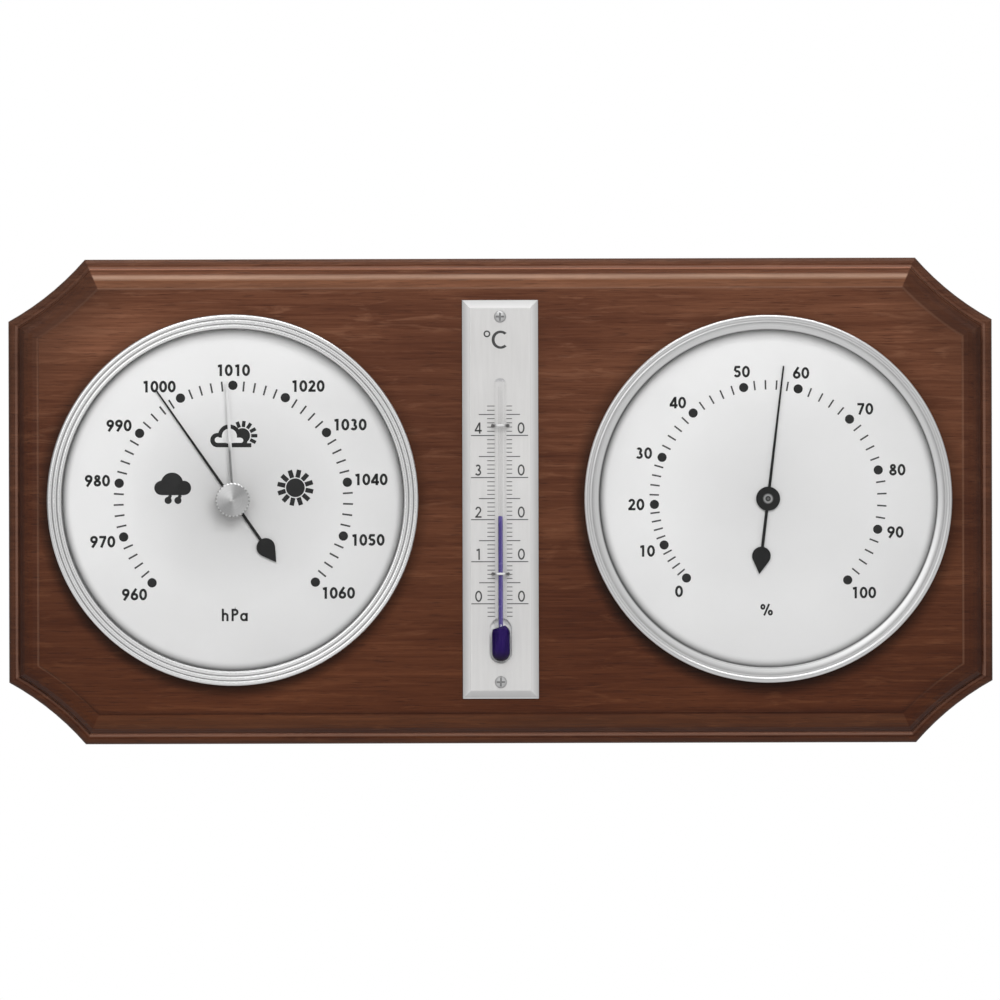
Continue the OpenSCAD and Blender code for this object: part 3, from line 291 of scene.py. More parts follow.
def make_wood():
    """Stained and varnished wood with its grain along the board, with painted highlights on the
    moulding and painted shade in its groove, in the corners, towards the foot
    and round the two bezels."""
    s = Surface("stained_wood", Specular_IOR_Level=0.14)
    broad = s.noise(9.0, 3.0, 0.5, (0.7, 1.0, 3.2), distort=0.4)
    bands = s.noise(70.0, 5.0, 0.6, (0.12, 1.0, 3.0), distort=0.6)
    fibres = s.noise(520.0, 6.0, 0.75, (0.09, 1.0, 3.4))
    flecks = s.noise(190.0, 4.0, 0.6, (0.30, 1.0, 2.4), distort=0.8)
    pores = s.noise(1100.0, 2.0, 0.5, (0.12, 1.0, 2.4))
    tone = s.plus(s.times(broad, 0.34), s.plus(s.times(bands, 0.30), s.times(fibres, 0.36)))
    base = s.ramp(tone, [
        (0.30, rgb(58, 28, 15)), (0.44, rgb(84, 46, 28)), (0.54, rgb(102, 61, 40)),
        (0.70, rgb(134, 86, 62))])
    light = s.blend(s.span(flecks, 0.55, 0.72, 0.0, 0.34), base, rgb(146, 100, 74))
    grain = s.blend(s.span(pores, 0.58, 0.70, 0.0, 0.55), light, rgb(48, 22, 12))

    x, y, z = s.axes()
    front = s.span(y, -0.0095, -0.0105)
    # Painted shade: darker and warmer towards the foot, lighter at the top
    painted_falloff = s.ramp(s.span(z, -0.062, 0.062), [
        (0.0, (0.58, 0.46, 0.31, 1.0)), (0.5, (0.68, 0.63, 0.58, 1.0)),
        (1.0, (1.0, 1.04, 1.10, 1.0))])
    grain = s.blend(1.0, grain, painted_falloff, "MULTIPLY")

    # Shares from 0 to 1: along the top, along the foot, at both sides and at the right side
    top = s.span(z, 0.046, 0.060)
    foot = s.span(z, -0.046, -0.060)
    side = s.minus(1.0, s.most(top, foot))
    right = s.times(side, s.span(x, -0.01, 0.01))
    inside, at_arc = edge_distance(s)
    shifted = s.minus(inside, s.times(s.most(top, foot), 0.3))

    def band(value, a, b, c, d):
        """Rises from a to b and falls from c to d."""
        return s.times(s.span(value, a, b), s.span(value, d, c))

    def weigh(at_side, at_top, at_foot):
        return s.plus(s.times(side, at_side),
                      s.plus(s.times(top, at_top), s.times(foot, at_foot)))

    streak = s.span(s.noise(110.0, 5.0, 0.65, (0.16, 1.0, 3.0)), 0.35, 0.65, 0.72, 1.22)
    # Painted highlights and shade on the moulding. Each layer: mask, weight, colour, and the share
    # of it that stays along the corners' arcs
    layers = (
        # Painted shade on the rounded outer edge
        (band(inside, -1.0, -0.5, 1.2, 1.8), weigh(0.30, 0.34, 0.30), rgb(66, 50, 42), 1.0),
        # Painted shade in the groove, deepest at the sides
        (band(inside, 2.95, 3.2, 3.9, 4.7), weigh(0.50, 0.0, 0.25), rgb(34, 12, 7), 1.0),
        # Painted shade on the ovolo at both sides, and more at the right side
        (band(inside, 3.9, 4.5, 7.8, 8.2), weigh(0.26, 0.0, 0.0), rgb(46, 20, 14), 1.0),
        (band(inside, 3.9, 4.6, 7.8, 8.2), s.times(right, 0.20), rgb(36, 15, 11), 1.0),
        # Painted light on the ovolo along the top and a little at the foot, and a painted highlight
        # along the top
        (band(inside, 4.3, 4.9, 7.9, 8.3), s.times(streak, weigh(0.0, 0.10, 0.06)),
         rgb(160, 118, 88), 0.0),
        (band(inside, 4.2, 4.9, 5.4, 6.2), s.times(streak, weigh(0.0, 0.36, 0.0)),
         rgb(206, 170, 146), 0.0),
        # Painted light that lifts the quirk's shade along the top and the foot
        (band(inside, 2.5, 2.6, 2.9, 3.1), weigh(0.0, 0.85, 0.75), rgb(206, 150, 124), 0.15),
        # Painted highlight along the bead's crest
        (band(shifted, 1.7, 2.0, 2.4, 2.7), weigh(0.34, 0.50, 0.46), rgb(150, 116, 100), 0.35),
        # Painted highlight on the fillet at the sides and the top
        (band(inside, 8.0, 8.2, 8.5, 8.8), weigh(0.20, 0.36, 0.0), rgb(150, 114, 94), 0.8),
        # Painted shade beside the fillet, mostly at the foot
        (band(inside, 8.1, 8.5, 9.1, 9.7), weigh(0.0, 0.10, 0.30), rgb(44, 20, 11), 1.0))
    for mask, weight, colour, share_at_arc in layers:
        amount = s.times(s.times(mask, weight), front)
        amount = s.times(amount, s.span(at_arc, 0.0, 1.0, 1.0, share_at_arc))
        grain = s.blend(amount, grain, colour)

    # Painted shade in the corners: a little at the foot, more at the top. In the hollow of the
    # moulding both upper ones are nearly alike, and elsewhere the left one is darker
    outward = s.span(s.plus(s.size(x), s.size(z)), 0.160, 0.178)
    field = s.span(inside, 8.2, 8.8)
    moulded = s.most(at_arc, s.times(side, outward))
    corner = s.plus(s.times(outward, field), s.times(moulded, s.minus(1.0, field)))
    groove = s.times(band(inside, 3.0, 4.2, 7.8, 8.6), s.span(x, -0.01, 0.01, 0.08, 0.28))
    upper = s.plus(s.span(x, -0.01, 0.01, 0.40, 0.22), groove)
    shade = s.plus(s.times(upper, s.span(z, 0.0, 0.01)), 0.10)
    grain = s.blend(s.times(s.times(corner, shade), front), grain, rgb(44, 22, 12))

    # Shade round the bezels, deepest at their lower left
    dx = s.times(s.minus(s.size(x), HYGRO[0] * MM), s.math("SIGN", x))
    dz = s.minus(z, ROW_Z * MM)
    far = s.length(dx, dz)
    turned = s.math("DIVIDE", s.plus(s.times(dx, -0.5), s.times(dz, -0.86)), far)
    halo = s.times(s.times(s.span(far, SHADE_FROM * MM, SHADE_TO * MM, 1.0, 0.0), front),
                   s.span(turned, -0.9, 0.9, 0.12, 0.75))

    # Painted light: the wood behind the bulb's slot, which has round ends, is painted nearly white
    # so that the shaded gap round the bulb looks lit
    beyond = s.plus(s.most(s.minus(z, SLOT_TOP * MM), 0.0),
                    s.most(s.minus(SLOT_FOOT * MM, z), 0.0))
    slot = s.length(x, beyond)
    under = s.times(s.span(slot, 0.0038, 0.0035), s.span(y, -0.0190, -0.0195))
    s.colour(s.blend(under, s.blend(halo, grain, rgb(16, 6, 3)), grey(252)))
    s.roughness(s.span(fibres, 0.3, 0.7, 0.30, 0.42))
    height = s.minus(s.times(fibres, 0.5), s.span(pores, 0.58, 0.72))
    s.normal(s.bump(height, 0.35, 0.00012))
    return s.material


def make_spun(name, centre, colour, rough, anisotropy=0.6, shade=0.05, shaded_inside=None,
              crests=(), teeth=None):
    """Turned metal: fine rings round the instrument's axis and long soft highlights. Crests are
    radii that get painted highlights. With a radius for the inside, the ring is painted dark inside
    it, as shade at its inner lip. With teeth, (how many, from which radius), the face gets a
    painted dark reflection in a fan and the fluted rim painted glints, light and dark. Radii are in
    millimetres."""
    s = Surface(name, Metallic=1.0, Anisotropic=anisotropy, Anisotropic_Rotation=0.25)
    lines = s.rings(centre, 0.00045)
    wear = s.noise(60.0, 4.0, 0.6)
    tone = s.blend(s.span(lines, 0.35, 0.65), darker(colour, shade), colour)
    # Painted shade: dark inside a radius, at the ring's inner lip
    if shaded_inside is not None:
        edge = s.span(s.radius_from(centre), shaded_inside * MM, (shaded_inside + 0.5) * MM, 1.0, 0.0)
        tone = s.blend(edge, tone, grey(62))
    # Painted highlights along the crests
    for crest in crests:
        off = s.size(s.minus(s.radius_from(centre), crest * MM))
        tone = s.blend(s.span(off, 0.00012, 0.00042, 0.75, 0.0), tone, grey(252))
    # Painted dark reflection in a fan on the face, and painted glints on the fluted rim
    if teeth:
        count, start = teeth
        fan_turn = 2.05
        angle = s.angle_from(centre)
        fan = s.math("COSINE", s.minus(s.times(angle, 2.0), fan_turn))
        tone = s.blend(s.span(fan, 0.0, 0.85, 0.0, 0.36), tone, grey(104))
        rim = s.span(s.radius_from(centre), (start - 0.12) * MM, (start + 0.12) * MM, 0.0, 0.6)
        flute_glints = s.span(s.math("SINE", s.times(angle, count)), -0.6, 0.6)
        tone = s.blend(rim, tone, s.blend(flute_glints, grey(150), grey(236)))
    s.colour(tone)
    s.roughness(s.plus(s.span(lines, 0.3, 0.7, rough - 0.02, rough + 0.02),
                       s.span(wear, 0.45, 0.75, 0.0, 0.05)))
    s.normal(s.bump(lines, 0.10, 0.00002))
    tangent = s.add("ShaderNodeTangent", direction_type="RADIAL", axis="Y")
    s.link(tangent.outputs[0], s.shader.inputs["Tangent"])
    return s.material


def make_dial(name, centre, sight, heart, left):
    """White lacquer with painted light and shade: painted shade at its heart and painted light at
    its left, by the given shares, lighter at the upper left and towards the top, darker at the
    lower right, and with the painted soft shade that the bezel leaves round its edge."""
    s = Surface(name, Specular_IOR_Level=0.3)
    cloud = s.noise(25.0, 3.0, 0.5)
    peel = s.noise(700.0, 3.0, 0.5)
    white = s.blend(s.span(cloud, 0.35, 0.65), grey(229), grey(231))
    x, _, z = s.axes()
    # Painted light: lighter at the upper left and darker at the lower right, lighter towards the
    # top, and lighter at the left by the share given
    slant = s.minus(s.minus(z, centre[1] * MM), s.minus(x, centre[0] * MM))
    white = s.blend(s.span(slant, -0.05, 0.055), s.blend(0.5, white, grey(222)),
                    s.blend(0.5, white, grey(241)))
    white = s.blend(s.span(z, (centre[1] + 27) * MM, (centre[1] + 47) * MM), white, grey(245))
    lean = s.plus(x, s.times(z, -0.45))
    white = s.blend(s.span(lean, (centre[0] - 24) * MM, (centre[0] - 46) * MM, 0.0, left),
                    white, grey(248))
    # Painted shade towards the heart, round the hub
    white = s.blend(s.span(s.radius_from(centre), 0.030, 0.006, 0.0, heart), white, grey(150))
    # Painted shade round the edge, under the bezel's lip
    radius = s.radius_from((centre[0] + 0.2, centre[1] + 0.28))
    edge = s.span(radius, (sight - 2.35) * MM, (sight + 0.1) * MM)
    s.colour(s.blend(s.times(edge, edge), white, grey(96)))
    s.polish(peel, 0.51, 0.59, 0.04, 0.00002)
    return s.material


def make_metal(name, colour, rough, grain=500.0, stretch=(1, 1, 1), shade=0.12):
    """Plain metal with a fine grain, small scuffs and uneven polish."""
    s = Surface(name, Metallic=1.0)
    fine = s.noise(grain, 5.0, 0.6, stretch)
    stain = s.noise(grain * 0.12, 3.0, 0.5)
    s.colour(s.blend(s.span(stain, 0.35, 0.68), darker(colour, shade), colour))
    s.roughness(s.plus(s.span(fine, 0.3, 0.7, rough - 0.05, rough + 0.05),
                       s.span(stain, 0.5, 0.8, 0.0, 0.08)))
    s.normal(s.bump(fine, 0.15, 0.00003))
    return s.material


def make_lacquer(name, colour, rough, shade=0.05, grain=700.0, strength=0.08, sheen=0.5):
    """Paint: an even colour with faint clouding and a fine orange-peel surface."""
    s = Surface(name, Specular_IOR_Level=sheen)
    cloud = s.noise(25.0, 3.0, 0.5)
    peel = s.noise(grain, 3.0, 0.5)
    s.colour(s.blend(s.span(cloud, 0.35, 0.65), darker(colour, shade), colour))
    s.polish(peel, rough - 0.04, rough + 0.04, strength, 0.00002)
    return s.material


def make_plate():
    """Satin anodised sheet: a fine vertical grain under a soft shine, and painted light and shade
    on its bevel, which is mitred at its corners."""
    s = Surface("satin_plate", Metallic=0.12)
    grain = s.noise(900.0, 4.0, 0.6, (1.0, 1.0, 0.08))
    cloud = s.noise(30.0, 2.0, 0.5)
    x, _, z = s.axes()
    low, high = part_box("thermometer_plate")
    beside = s.minus(high.x, s.size(x))
    above = s.minus(high.z, z)
    below = s.minus(z, low.z)
    wide, soft = BEVEL * MM, 0.0003

    def bevel(distance):
        return s.span(distance, wide + soft, wide - soft, 0.0, 0.8)

    def nearer(distance):
        return s.times(s.span(s.minus(beside, distance), -0.0001, 0.0002), bevel(distance))

    face = s.blend(s.span(s.plus(s.times(grain, 0.5), s.times(cloud, 0.5)), 0.35, 0.65),
                   rgb(194, 193, 192), rgb(203, 202, 201))
    # Painted light and shade on the bevel: at the sides and top darker at the outer edge and
    # lighter inwards, at the foot darker, with a painted bright line along the lower edge
    face = s.blend(bevel(beside), face, s.blend(s.span(beside, 0.0, wide), grey(172), grey(226)))
    face = s.blend(nearer(above), face, s.blend(s.span(above, 0.0, wide), grey(180), grey(206)))
    foot = s.blend(s.span(below, 0.0, 0.0005), grey(214),
                   s.blend(s.span(below, 0.0, wide), grey(170), grey(190)))
    s.colour(s.blend(nearer(below), face, foot))
    s.polish(grain, 0.40, 0.50, 0.12, 0.00002)
    return s.material


def make_clear(name, tint, gloss, edge=None, edge_from=0.0, closed_at=0.0):
    """Clear glass seen as a thin wall: what lies behind shows, with reflections on top. The edge
    colour is painted shade, for grazing views from one height upwards, and for the melted end above
    another."""
    s = Surface(name)
    s.tree.nodes.remove(s.shader)
    smear = s.noise(40.0, 3.0, 0.5)
    through = s.add("ShaderNodeBsdfTransparent")
    colour = s.blend(s.span(smear, 0.4, 0.7), tint, darker(tint, 0.01))
    # Painted shade on the glass where it is seen at a grazing angle, and on its melted end
    if edge is not None:
        weight = s.fill(s.add("ShaderNodeLayerWeight"), Blend=0.3)
        z = s.axes()[2]
        upper = s.span(z, edge_from, edge_from + 0.001)
        colour = s.blend(s.times(s.span(weight.outputs["Facing"], 0.70, 0.97), upper), colour, edge)
        colour = s.blend(s.span(z, closed_at, closed_at + 0.0006, 0.0, 0.6), colour, edge)
    s.link(colour, through.inputs["Color"])
    shine = s.add("ShaderNodeBsdfGlossy")
    s.link(s.span(smear, 0.4, 0.8, 0.02, 0.06), shine.inputs["Roughness"])
    fresnel = s.fill(s.add("ShaderNodeFresnel"), IOR=1.46)
    share = s.math("MULTIPLY", fresnel.outputs[0], gloss, clamp=True)
    s.mix(share, through, shine, s.out)
    return s.material


def make_liquid():
    """Violet spirit in the bore, a little lighter on its right, where the tube gathers light."""
    s = Surface("violet_liquid", Coat_Weight=0.3, Coat_Roughness=0.08)
    depth = s.noise(160.0, 2.0, 0.5)
    body = s.blend(s.span(depth, 0.4, 0.65), rgb(54, 40, 112), rgb(61, 48, 122))
    s.colour(s.blend(s.span(s.axes()[0], 0.0, 0.0007, 0.0, 0.55), body, rgb(140, 130, 186)))
    s.roughness(s.span(depth, 0.3, 0.7, 0.22, 0.3))
    return s.material


def make_bulb():
    """The same spirit seen through the bulb: deep violet with soft upright streaks, with painted
    shade that makes it nearly black at the foot and painted light that makes it paler at its very
    edge."""
    s = Surface("bulb_liquid", Specular_IOR_Level=0.08)
    depth = s.noise(900.0, 2.0, 0.5, (1.0, 1, 0.10))
    body = s.blend(s.span(depth, 0.38, 0.62), rgb(22, 4, 66), rgb(42, 22, 88))
    # Painted shade at the foot
    body = s.blend(s.span(s.axes()[2], -0.0425, -0.0455), body, rgb(30, 20, 36))
    # Painted light at the edge, where it is seen at a grazing angle
    weight = s.fill(s.add("ShaderNodeLayerWeight"), Blend=0.3)
    s.colour(s.blend(s.span(weight.outputs["Facing"], 0.80, 0.98, 0.0, 0.4), body,
                     rgb(112, 100, 150)))
    s.roughness(s.span(depth, 0.3, 0.7, 0.2, 0.3))
    return s.material


def make_wire():
    """Fine wire: painted dark with shade where it enters the plate, and painted bright with a
    highlight where it crosses the tube.
    """
    s = Surface("clip_wire", Metallic=0.3)
    fine = s.noise(1200.0, 3.0, 0.6)
    # Painted highlight over the tube, painted shade at the sides
    aside = s.span(s.size(s.axes()[0]), 0.0010, 0.0017)
    s.colour(s.blend(aside, grey(208), s.blend(fine, grey(72), grey(108))))
    s.polish(fine, 0.3, 0.45, 0.15, 0.00002)
    return s.material


def make_screw_head():
    """Domed head with a cross in it, with painted shade in the recess and round its rim."""
    s = Surface("screw_head", Metallic=0.5)
    fine = s.noise(1500.0, 3.0, 0.6)
    x, _, z = s.axes()
    across = s.size(x)
    up = s.size(s.minus(s.size(s.minus(z, ROW_Z * MM)), PLATE_SCREW_Z * MM))
    near = s.least(across, up)
    far = s.length(across, up)
    # Painted shade in the cross's recess and round the head's rim
    cross = s.times(s.span(near, 0.00032, 0.00022), s.span(far, 0.0013, 0.0011))
    head = s.blend(s.span(far, 0.0012, 0.0017), s.blend(fine, grey(160), grey(206)), grey(150))
    s.colour(s.blend(cross, head, s.blend(fine, grey(96), grey(150))))
    s.polish(fine, 0.32, 0.45, 0.2, 0.00003)
    return s.material


def make_setting_hand():
    """Flat brushed steel hand, with a painted bright reflection towards its tip and a painted dark
    reflection, a line, towards its hub.
    """
    s = Surface("setting_hand_steel", Metallic=0.35)
    brush = s.noise(1500.0, 3.0, 0.6, (1.0, 1.0, 0.06))
    along = s.radius_from(BARO)
    # Painted reflections: bright towards the tip, and a dark line along the middle towards the hub
    bright = s.span(along, 0.0138, 0.0168)
    across = s.minus(s.angle_from(BARO), radians(90 + HAND_LEAN))
    off = s.size(s.plus(s.times(across, along), 0.00004))
    lower = s.blend(s.span(off, 0.00022, 0.00052), grey(126), grey(212))
    s.colour(s.blend(bright, lower, s.blend(brush, grey(218), grey(238))))
    s.polish(brush, 0.28, 0.4, 0.15, 0.00002)
    return s.material


def make_rivet():
    """Small riveted end: a bright ring round a dark one, with a grey dimple."""
    s = Surface("rivet_steel", Metallic=0.6)
    fine = s.noise(2500.0, 3.0, 0.6)
    radius = s.radius_from(HYGRO)
    ring = s.blend(s.span(radius, 0.0011, 0.0014), grey(168), grey(84))
    inner = s.blend(s.span(radius, 0.00030, 0.00050), grey(104), grey(40))
    s.colour(s.blend(s.span(radius, 0.00065, 0.00090), inner, ring))
    s.polish(fine, 0.28, 0.40, 0.15, 0.00002)
    return s.material


WOOD = make_wood()
BARO_CHROME = make_spun("turned_ring_left", BARO, grey(218), 0.24, 0.3, shaded_inside=BARO_SIGHT,
                        crests=BARO_CRESTS)
HYGRO_CHROME = make_spun("turned_ring_right", HYGRO, grey(216), 0.30, 0.3,
                         shaded_inside=HYGRO_SIGHT)
KNOB_METAL = make_spun("turned_knob", BARO, grey(192), 0.36, 0.55, shade=0.08,
                       teeth=(KNOB_FLUTES, KNOB_FACE_R))
BARO_WHITE = make_dial("dial_lacquer_left", BARO, BARO_SIGHT, heart=0.34, left=0.62)
HYGRO_WHITE = make_dial("dial_lacquer_right", HYGRO, HYGRO_SIGHT, heart=0.16, left=0.30)
DIAL_WHITE = make_lacquer("dial_lacquer", grey(232), 0.55, shade=0.012, strength=0.04, sheen=0.3)
INK = make_lacquer("print_ink", grey(36), 0.6, shade=0.15, sheen=0.25)
TICK_INK = make_lacquer("scale_ink", grey(70), 0.6, shade=0.12, sheen=0.25)
THIN_INK = make_lacquer("fine_print_ink", grey(84), 0.6, shade=0.12, sheen=0.25)
HAND_BLACK = make_lacquer("black_lacquer", grey(19), 0.42, shade=0.2, sheen=0.3)
HUB_STEEL = make_rivet()
STEEL = make_metal("zinc_steel", grey(196), 0.34, 900.0)
WIRE = make_wire()
SCREW_HEAD = make_screw_head()
BRASS = make_metal("lacquered_brass", rgb(206, 168, 98), 0.32, 600.0)
CASE_BRASS = make_metal("spun_case_brass", rgb(190, 156, 92), 0.4, 300.0, (1, 3, 1), 0.18)
CAPSULE_BRONZE = make_metal("stamped_bronze", rgb(186, 128, 84), 0.35, 400.0)
SPRING_BLUE = make_metal("blued_spring", rgb(52, 66, 128), 0.3, 1500.0)
RING_GREY = make_lacquer("satin_ring", grey(205), 0.45, shade=0.08, grain=800.0)
SETTING_STEEL = make_setting_hand()
PLATE_METAL = make_plate()
DIAL_GLASS = make_clear("dial_glass", (0.99, 0.99, 0.99, 1.0), 0.55)
TUBE_GLASS = make_clear("tube_glass", (1.0, 1.0, 1.0, 1.0), 0.14,
                        edge=(0.84, 0.84, 0.86, 1.0), edge_from=-0.0345,
                        closed_at=0.0338)
LIQUID = make_liquid()
BULB_LIQUID = make_bulb()
COIL_TAN = make_lacquer("coated_strip", rgb(176, 150, 108), 0.5, shade=0.2, grain=900.0)

NODE_MATERIALS = {
    "board": WOOD, "wall_hanger": STEEL, "hanger_screws": STEEL,
    "thermometer_plate": PLATE_METAL, "plate_screws": SCREW_HEAD, "thermometer_tube": TUBE_GLASS,
    "bulb_liquid": BULB_LIQUID, "liquid_meniscus": LIQUID,
    "tube_clip_upper": WIRE, "tube_clip_lower": WIRE,
    "barometer_case": CASE_BRASS, "barometer_case_screws": STEEL, "barometer_bezel": BARO_CHROME,
    "barometer_glass": DIAL_GLASS, "barometer_glass_ring": RING_GREY, "barometer_dial": BARO_WHITE,
    "movement_base": BRASS, "movement_base_screws": STEEL, "movement_pillars": BRASS,
    "movement_bridge": BRASS, "movement_spacers": BRASS, "movement_top_plate": BRASS,
    "movement_top_screws": STEEL, "aneroid_capsule": CAPSULE_BRONZE, "capsule_post": STEEL,
    "pressure_adjuster": BRASS, "rocking_lever": STEEL, "sector_gear": BRASS,
    "sector_arbor": STEEL, "pointer_arbor": STEEL, "hairspring": SPRING_BLUE,
    "hairspring_stud": BRASS, "barometer_pointer": HAND_BLACK, "setting_hand": SETTING_STEEL,
    "setting_stem": STEEL, "setting_bush": BRASS, "setting_knob": KNOB_METAL,
    "hygrometer_case": CASE_BRASS, "hygrometer_case_screws": STEEL,
    "hygrometer_bezel": HYGRO_CHROME, "hygrometer_glass": DIAL_GLASS,
    "hygrometer_glass_ring": RING_GREY, "hygrometer_dial": HYGRO_WHITE,
    "hygrometer_base": BRASS, "hygrometer_base_screws": STEEL, "hygrometer_pillars": BRASS,
    "hygrometer_bridge": BRASS, "hygrometer_bridge_screws": STEEL, "humidity_coil": COIL_TAN,
    "humidity_adjuster": BRASS, "hygrometer_arbor": HUB_STEEL, "hygrometer_pointer": HAND_BLACK,
}

for name, material in NODE_MATERIALS.items():
    mesh = nodes[name].data
    mesh.materials.clear()
    mesh.materials.append(material)


# Flat prints

def stroke(points, width, closed=False):
    """A line of one width as quads, mitred at its corners."""
    pts = [Vector((p[0], p[1])) for p in points]
    n = len(pts)
    sides = []
    for i, p in enumerate(pts):
        before = pts[i - 1] if i > 0 or closed else None
        after = pts[(i + 1) % n] if i < n - 1 or closed else None
        into = (p - before).normalized() if before is not None else None
        away = (after - p).normalized() if after is not None else None
        into, away = into or away, away or into
        mid = (into + away).normalized()
        across = Vector((-mid.y, mid.x))
        reach = width / 2 / max(0.35, across.dot(Vector((-into.y, into.x))))
        sides.append((p + across * reach, p - across * reach))
    last = n if closed else n - 1
    return [[sides[i][1], sides[(i + 1) % n][1], sides[(i + 1) % n][0], sides[i][0]]
            for i in range(last)]


def arc(cx, cy, rx, ry, start, end, steps=20):
    return [(cx + rx * cos(radians(start + (end - start) * i / steps)),
             cy + ry * sin(radians(start + (end - start) * i / steps)))
            for i in range(steps + 1)]


def loop(cx, cy, rx, ry, steps=36):
    return arc(cx, cy, rx, ry, 0, 360 - 360 / steps, steps - 1)


def disc(cx, cy, r, steps=40):
    return [Vector(p) for p in loop(cx, cy, r, r, steps)]


def bar(x0, y0, x1, y1):
    return [Vector(p) for p in ((x0, y0), (x1, y0), (x1, y1), (x0, y1))]


def glyph(char, w):
    """(advance, quads) of one character of height 1, drawn with strokes of width w."""
    h = w / 2
    lines, loops = [], []
    advance = 0.74
    if char == "0":
        loops = [loop(0.34, 0.5, 0.34 - h, 0.5 - h)]
    elif char == "1":
        lines = [[(0.40, 0.0), (0.40, 1.0)], [(0.15, 0.84), (0.40, 1.0 - h)]]
    elif char == "2":
        lines = [arc(0.33, 0.69, 0.29 - h, 0.31 - h, 172, -40) + [(0.13, h)],
                 [(0.03, h), (0.65, h)]]
    elif char == "3":
        lines = [arc(0.31, 0.735, 0.26 - h, 0.265 - h, 152, -92),
                 arc(0.31, 0.285, 0.31 - h, 0.285 - h, 92, -155)]
    elif char == "4":
        lines = [[(0.45, 1.0 - h), (0.08, 0.30)], [(0.0, 0.26), (0.69, 0.26)],
                 [(0.49, 0.0), (0.49, 1.0)]]
    elif char == "5":
        lines = [[(0.13, 1 - h), (0.59, 1 - h)], [(0.19, 1 - h), (0.13, 0.56)],
                 arc(0.31, 0.32, 0.33 - h, 0.32 - h, 128, -150)]
    elif char == "6":
        loops = [loop(0.34, 0.32, 0.33 - h, 0.32 - h)]
        lines = [[(0.49, 1.0), (0.12, 0.45)]]
    elif char == "7":
        lines = [[(0.05, 1 - h), (0.64, 1 - h)], [(0.57, 1 - h), (0.22, 0.0)]]
    elif char == "8":
        loops = [loop(0.34, 0.745, 0.26 - h, 0.255 - h), loop(0.34, 0.285, 0.32 - h, 0.285 - h)]
    elif char == "9":
        loops = [loop(0.34, 0.68, 0.33 - h, 0.32 - h)]
        lines = [[(0.19, 0.0), (0.56, 0.55)]]
    elif char == "h":
        lines = [[(0.06 + h, 0.0), (0.06 + h, 1.0)],
                 arc(0.33, 0.42, 0.27 - h, 0.26 - h, 180, 0, 14) + [(0.60 - h, 0.0)]]
    elif char == "P":
        lines = [[(0.10 + h, 0.0), (0.10 + h, 1.0)],
                 [(0.10, 1 - h), (0.36, 1 - h)] + arc(0.36, 0.72, 0.30 - h, 0.28 - h, 90, -90, 14)
                 + [(0.10, 0.44 + h)]]
        advance = 0.76
    elif char == "a":
        loops = [loop(0.33, 0.33, 0.31 - h, 0.34 - h)]
        lines = [[(0.64 - h, 0.0), (0.64 - h, 0.66)]]
    elif char == "C":
        lines = [arc(0.42, 0.5, 0.40 - h, 0.5 - h, 48, 312, 30)]
        advance = 0.86
    elif char == "%":
        loops = [loop(0.22, 0.75, 0.22 - h, 0.25 - h), loop(0.86, 0.25, 0.22 - h, 0.25 - h)]
        lines = [[(0.76, 1.0), (0.32, 0.0)]]
        advance = 1.14
    quads = []
    for line in lines:
        quads += stroke(line, w)
    for ring in loops:
        quads += stroke(ring, w, closed=True)
    return advance, quads


def add_piece(name, verts, faces, material, smooth_below=None):
    """A new mesh in the scene. Edges flatter than smooth_below, in degrees, are shaded smooth."""
    mesh = bpy.data.meshes.new(name)
    mesh.from_pydata(verts, [], faces)
    mesh.update()
    if smooth_below is not None:
        mesh.shade_smooth()
        mesh.set_sharp_from_angle(angle=radians(smooth_below))
    mesh.materials.append(material)
    piece = bpy.data.objects.new(name, mesh)
    scene.collection.objects.link(piece)
    return piece


class Print:
    """Ink on a flat face: polygons in millimetres from a centre, as slabs a hair thick."""

    THICKNESS = 0.02
    LETTER_GAP = 0.06

    def __init__(self, centre, face):
        self.centre, self.face = centre, face
        self.polygons = []

    def add(self, polygon, lift=0.0):
        self.polygons.append((polygon, lift))

    def text(self, chars, x, y, height, weight, stretch=1.0):
        """Characters in one row, centred on x, y."""
        parts = [glyph(c, weight) for c in chars]
        pen = -(sum(advance for advance, _ in parts) - self.LETTER_GAP) / 2
        for advance, quads in parts:
            for quad in quads:
                self.add([Vector((x + (pen + p.x) * height * stretch, y + (p.y - 0.5) * height))
                          for p in quad])
            pen += advance

    def build(self, name, material, slot_name):
        verts, faces = [], []
        for polygon, lift in self.polygons:
            start, n = len(verts), len(polygon)
            low = self.face + lift
            for h in (low, low + self.THICKNESS):
                verts += [((self.centre[0] + p.x) * MM, -h * MM, (self.centre[1] + p.y) * MM)
                          for p in polygon]
            area = sum(p.x * q.y - q.x * p.y for p, q in zip(polygon, polygon[1:] + polygon[:1]))
            top = [start + n + i for i in range(n)]
            faces.append(top if area > 0 else top[::-1])
            for i in range(n):
                j = (i + 1) % n
                side = [start + i, start + j, start + n + j, start + n + i]
                faces.append(side if area > 0 else side[::-1])
        piece = add_piece(name, verts, faces, material)
        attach(piece, "housing")


def from_photo(px, py, centre_px):
    """Millimetres from an instrument's centre for a place in the picture."""
    x, y = (px - centre_px[0]) * PX, (centre_px[1] - py) * PX
    return (x * cos(ROLL) + y * sin(ROLL), y * cos(ROLL) - x * sin(ROLL))


def polar(r, degrees):
    """A point at an angle clockwise from the top."""
    return Vector((r * sin(radians(degrees)), r * cos(radians(degrees))))


def tick(degrees, r_in, r_out, width):
    out = polar(1.0, degrees)
    side = Vector((out.y, -out.x)) * width / 2
    return [out * r_in - side, out * r_in + side, out * r_out + side, out * r_out - side][::-1]


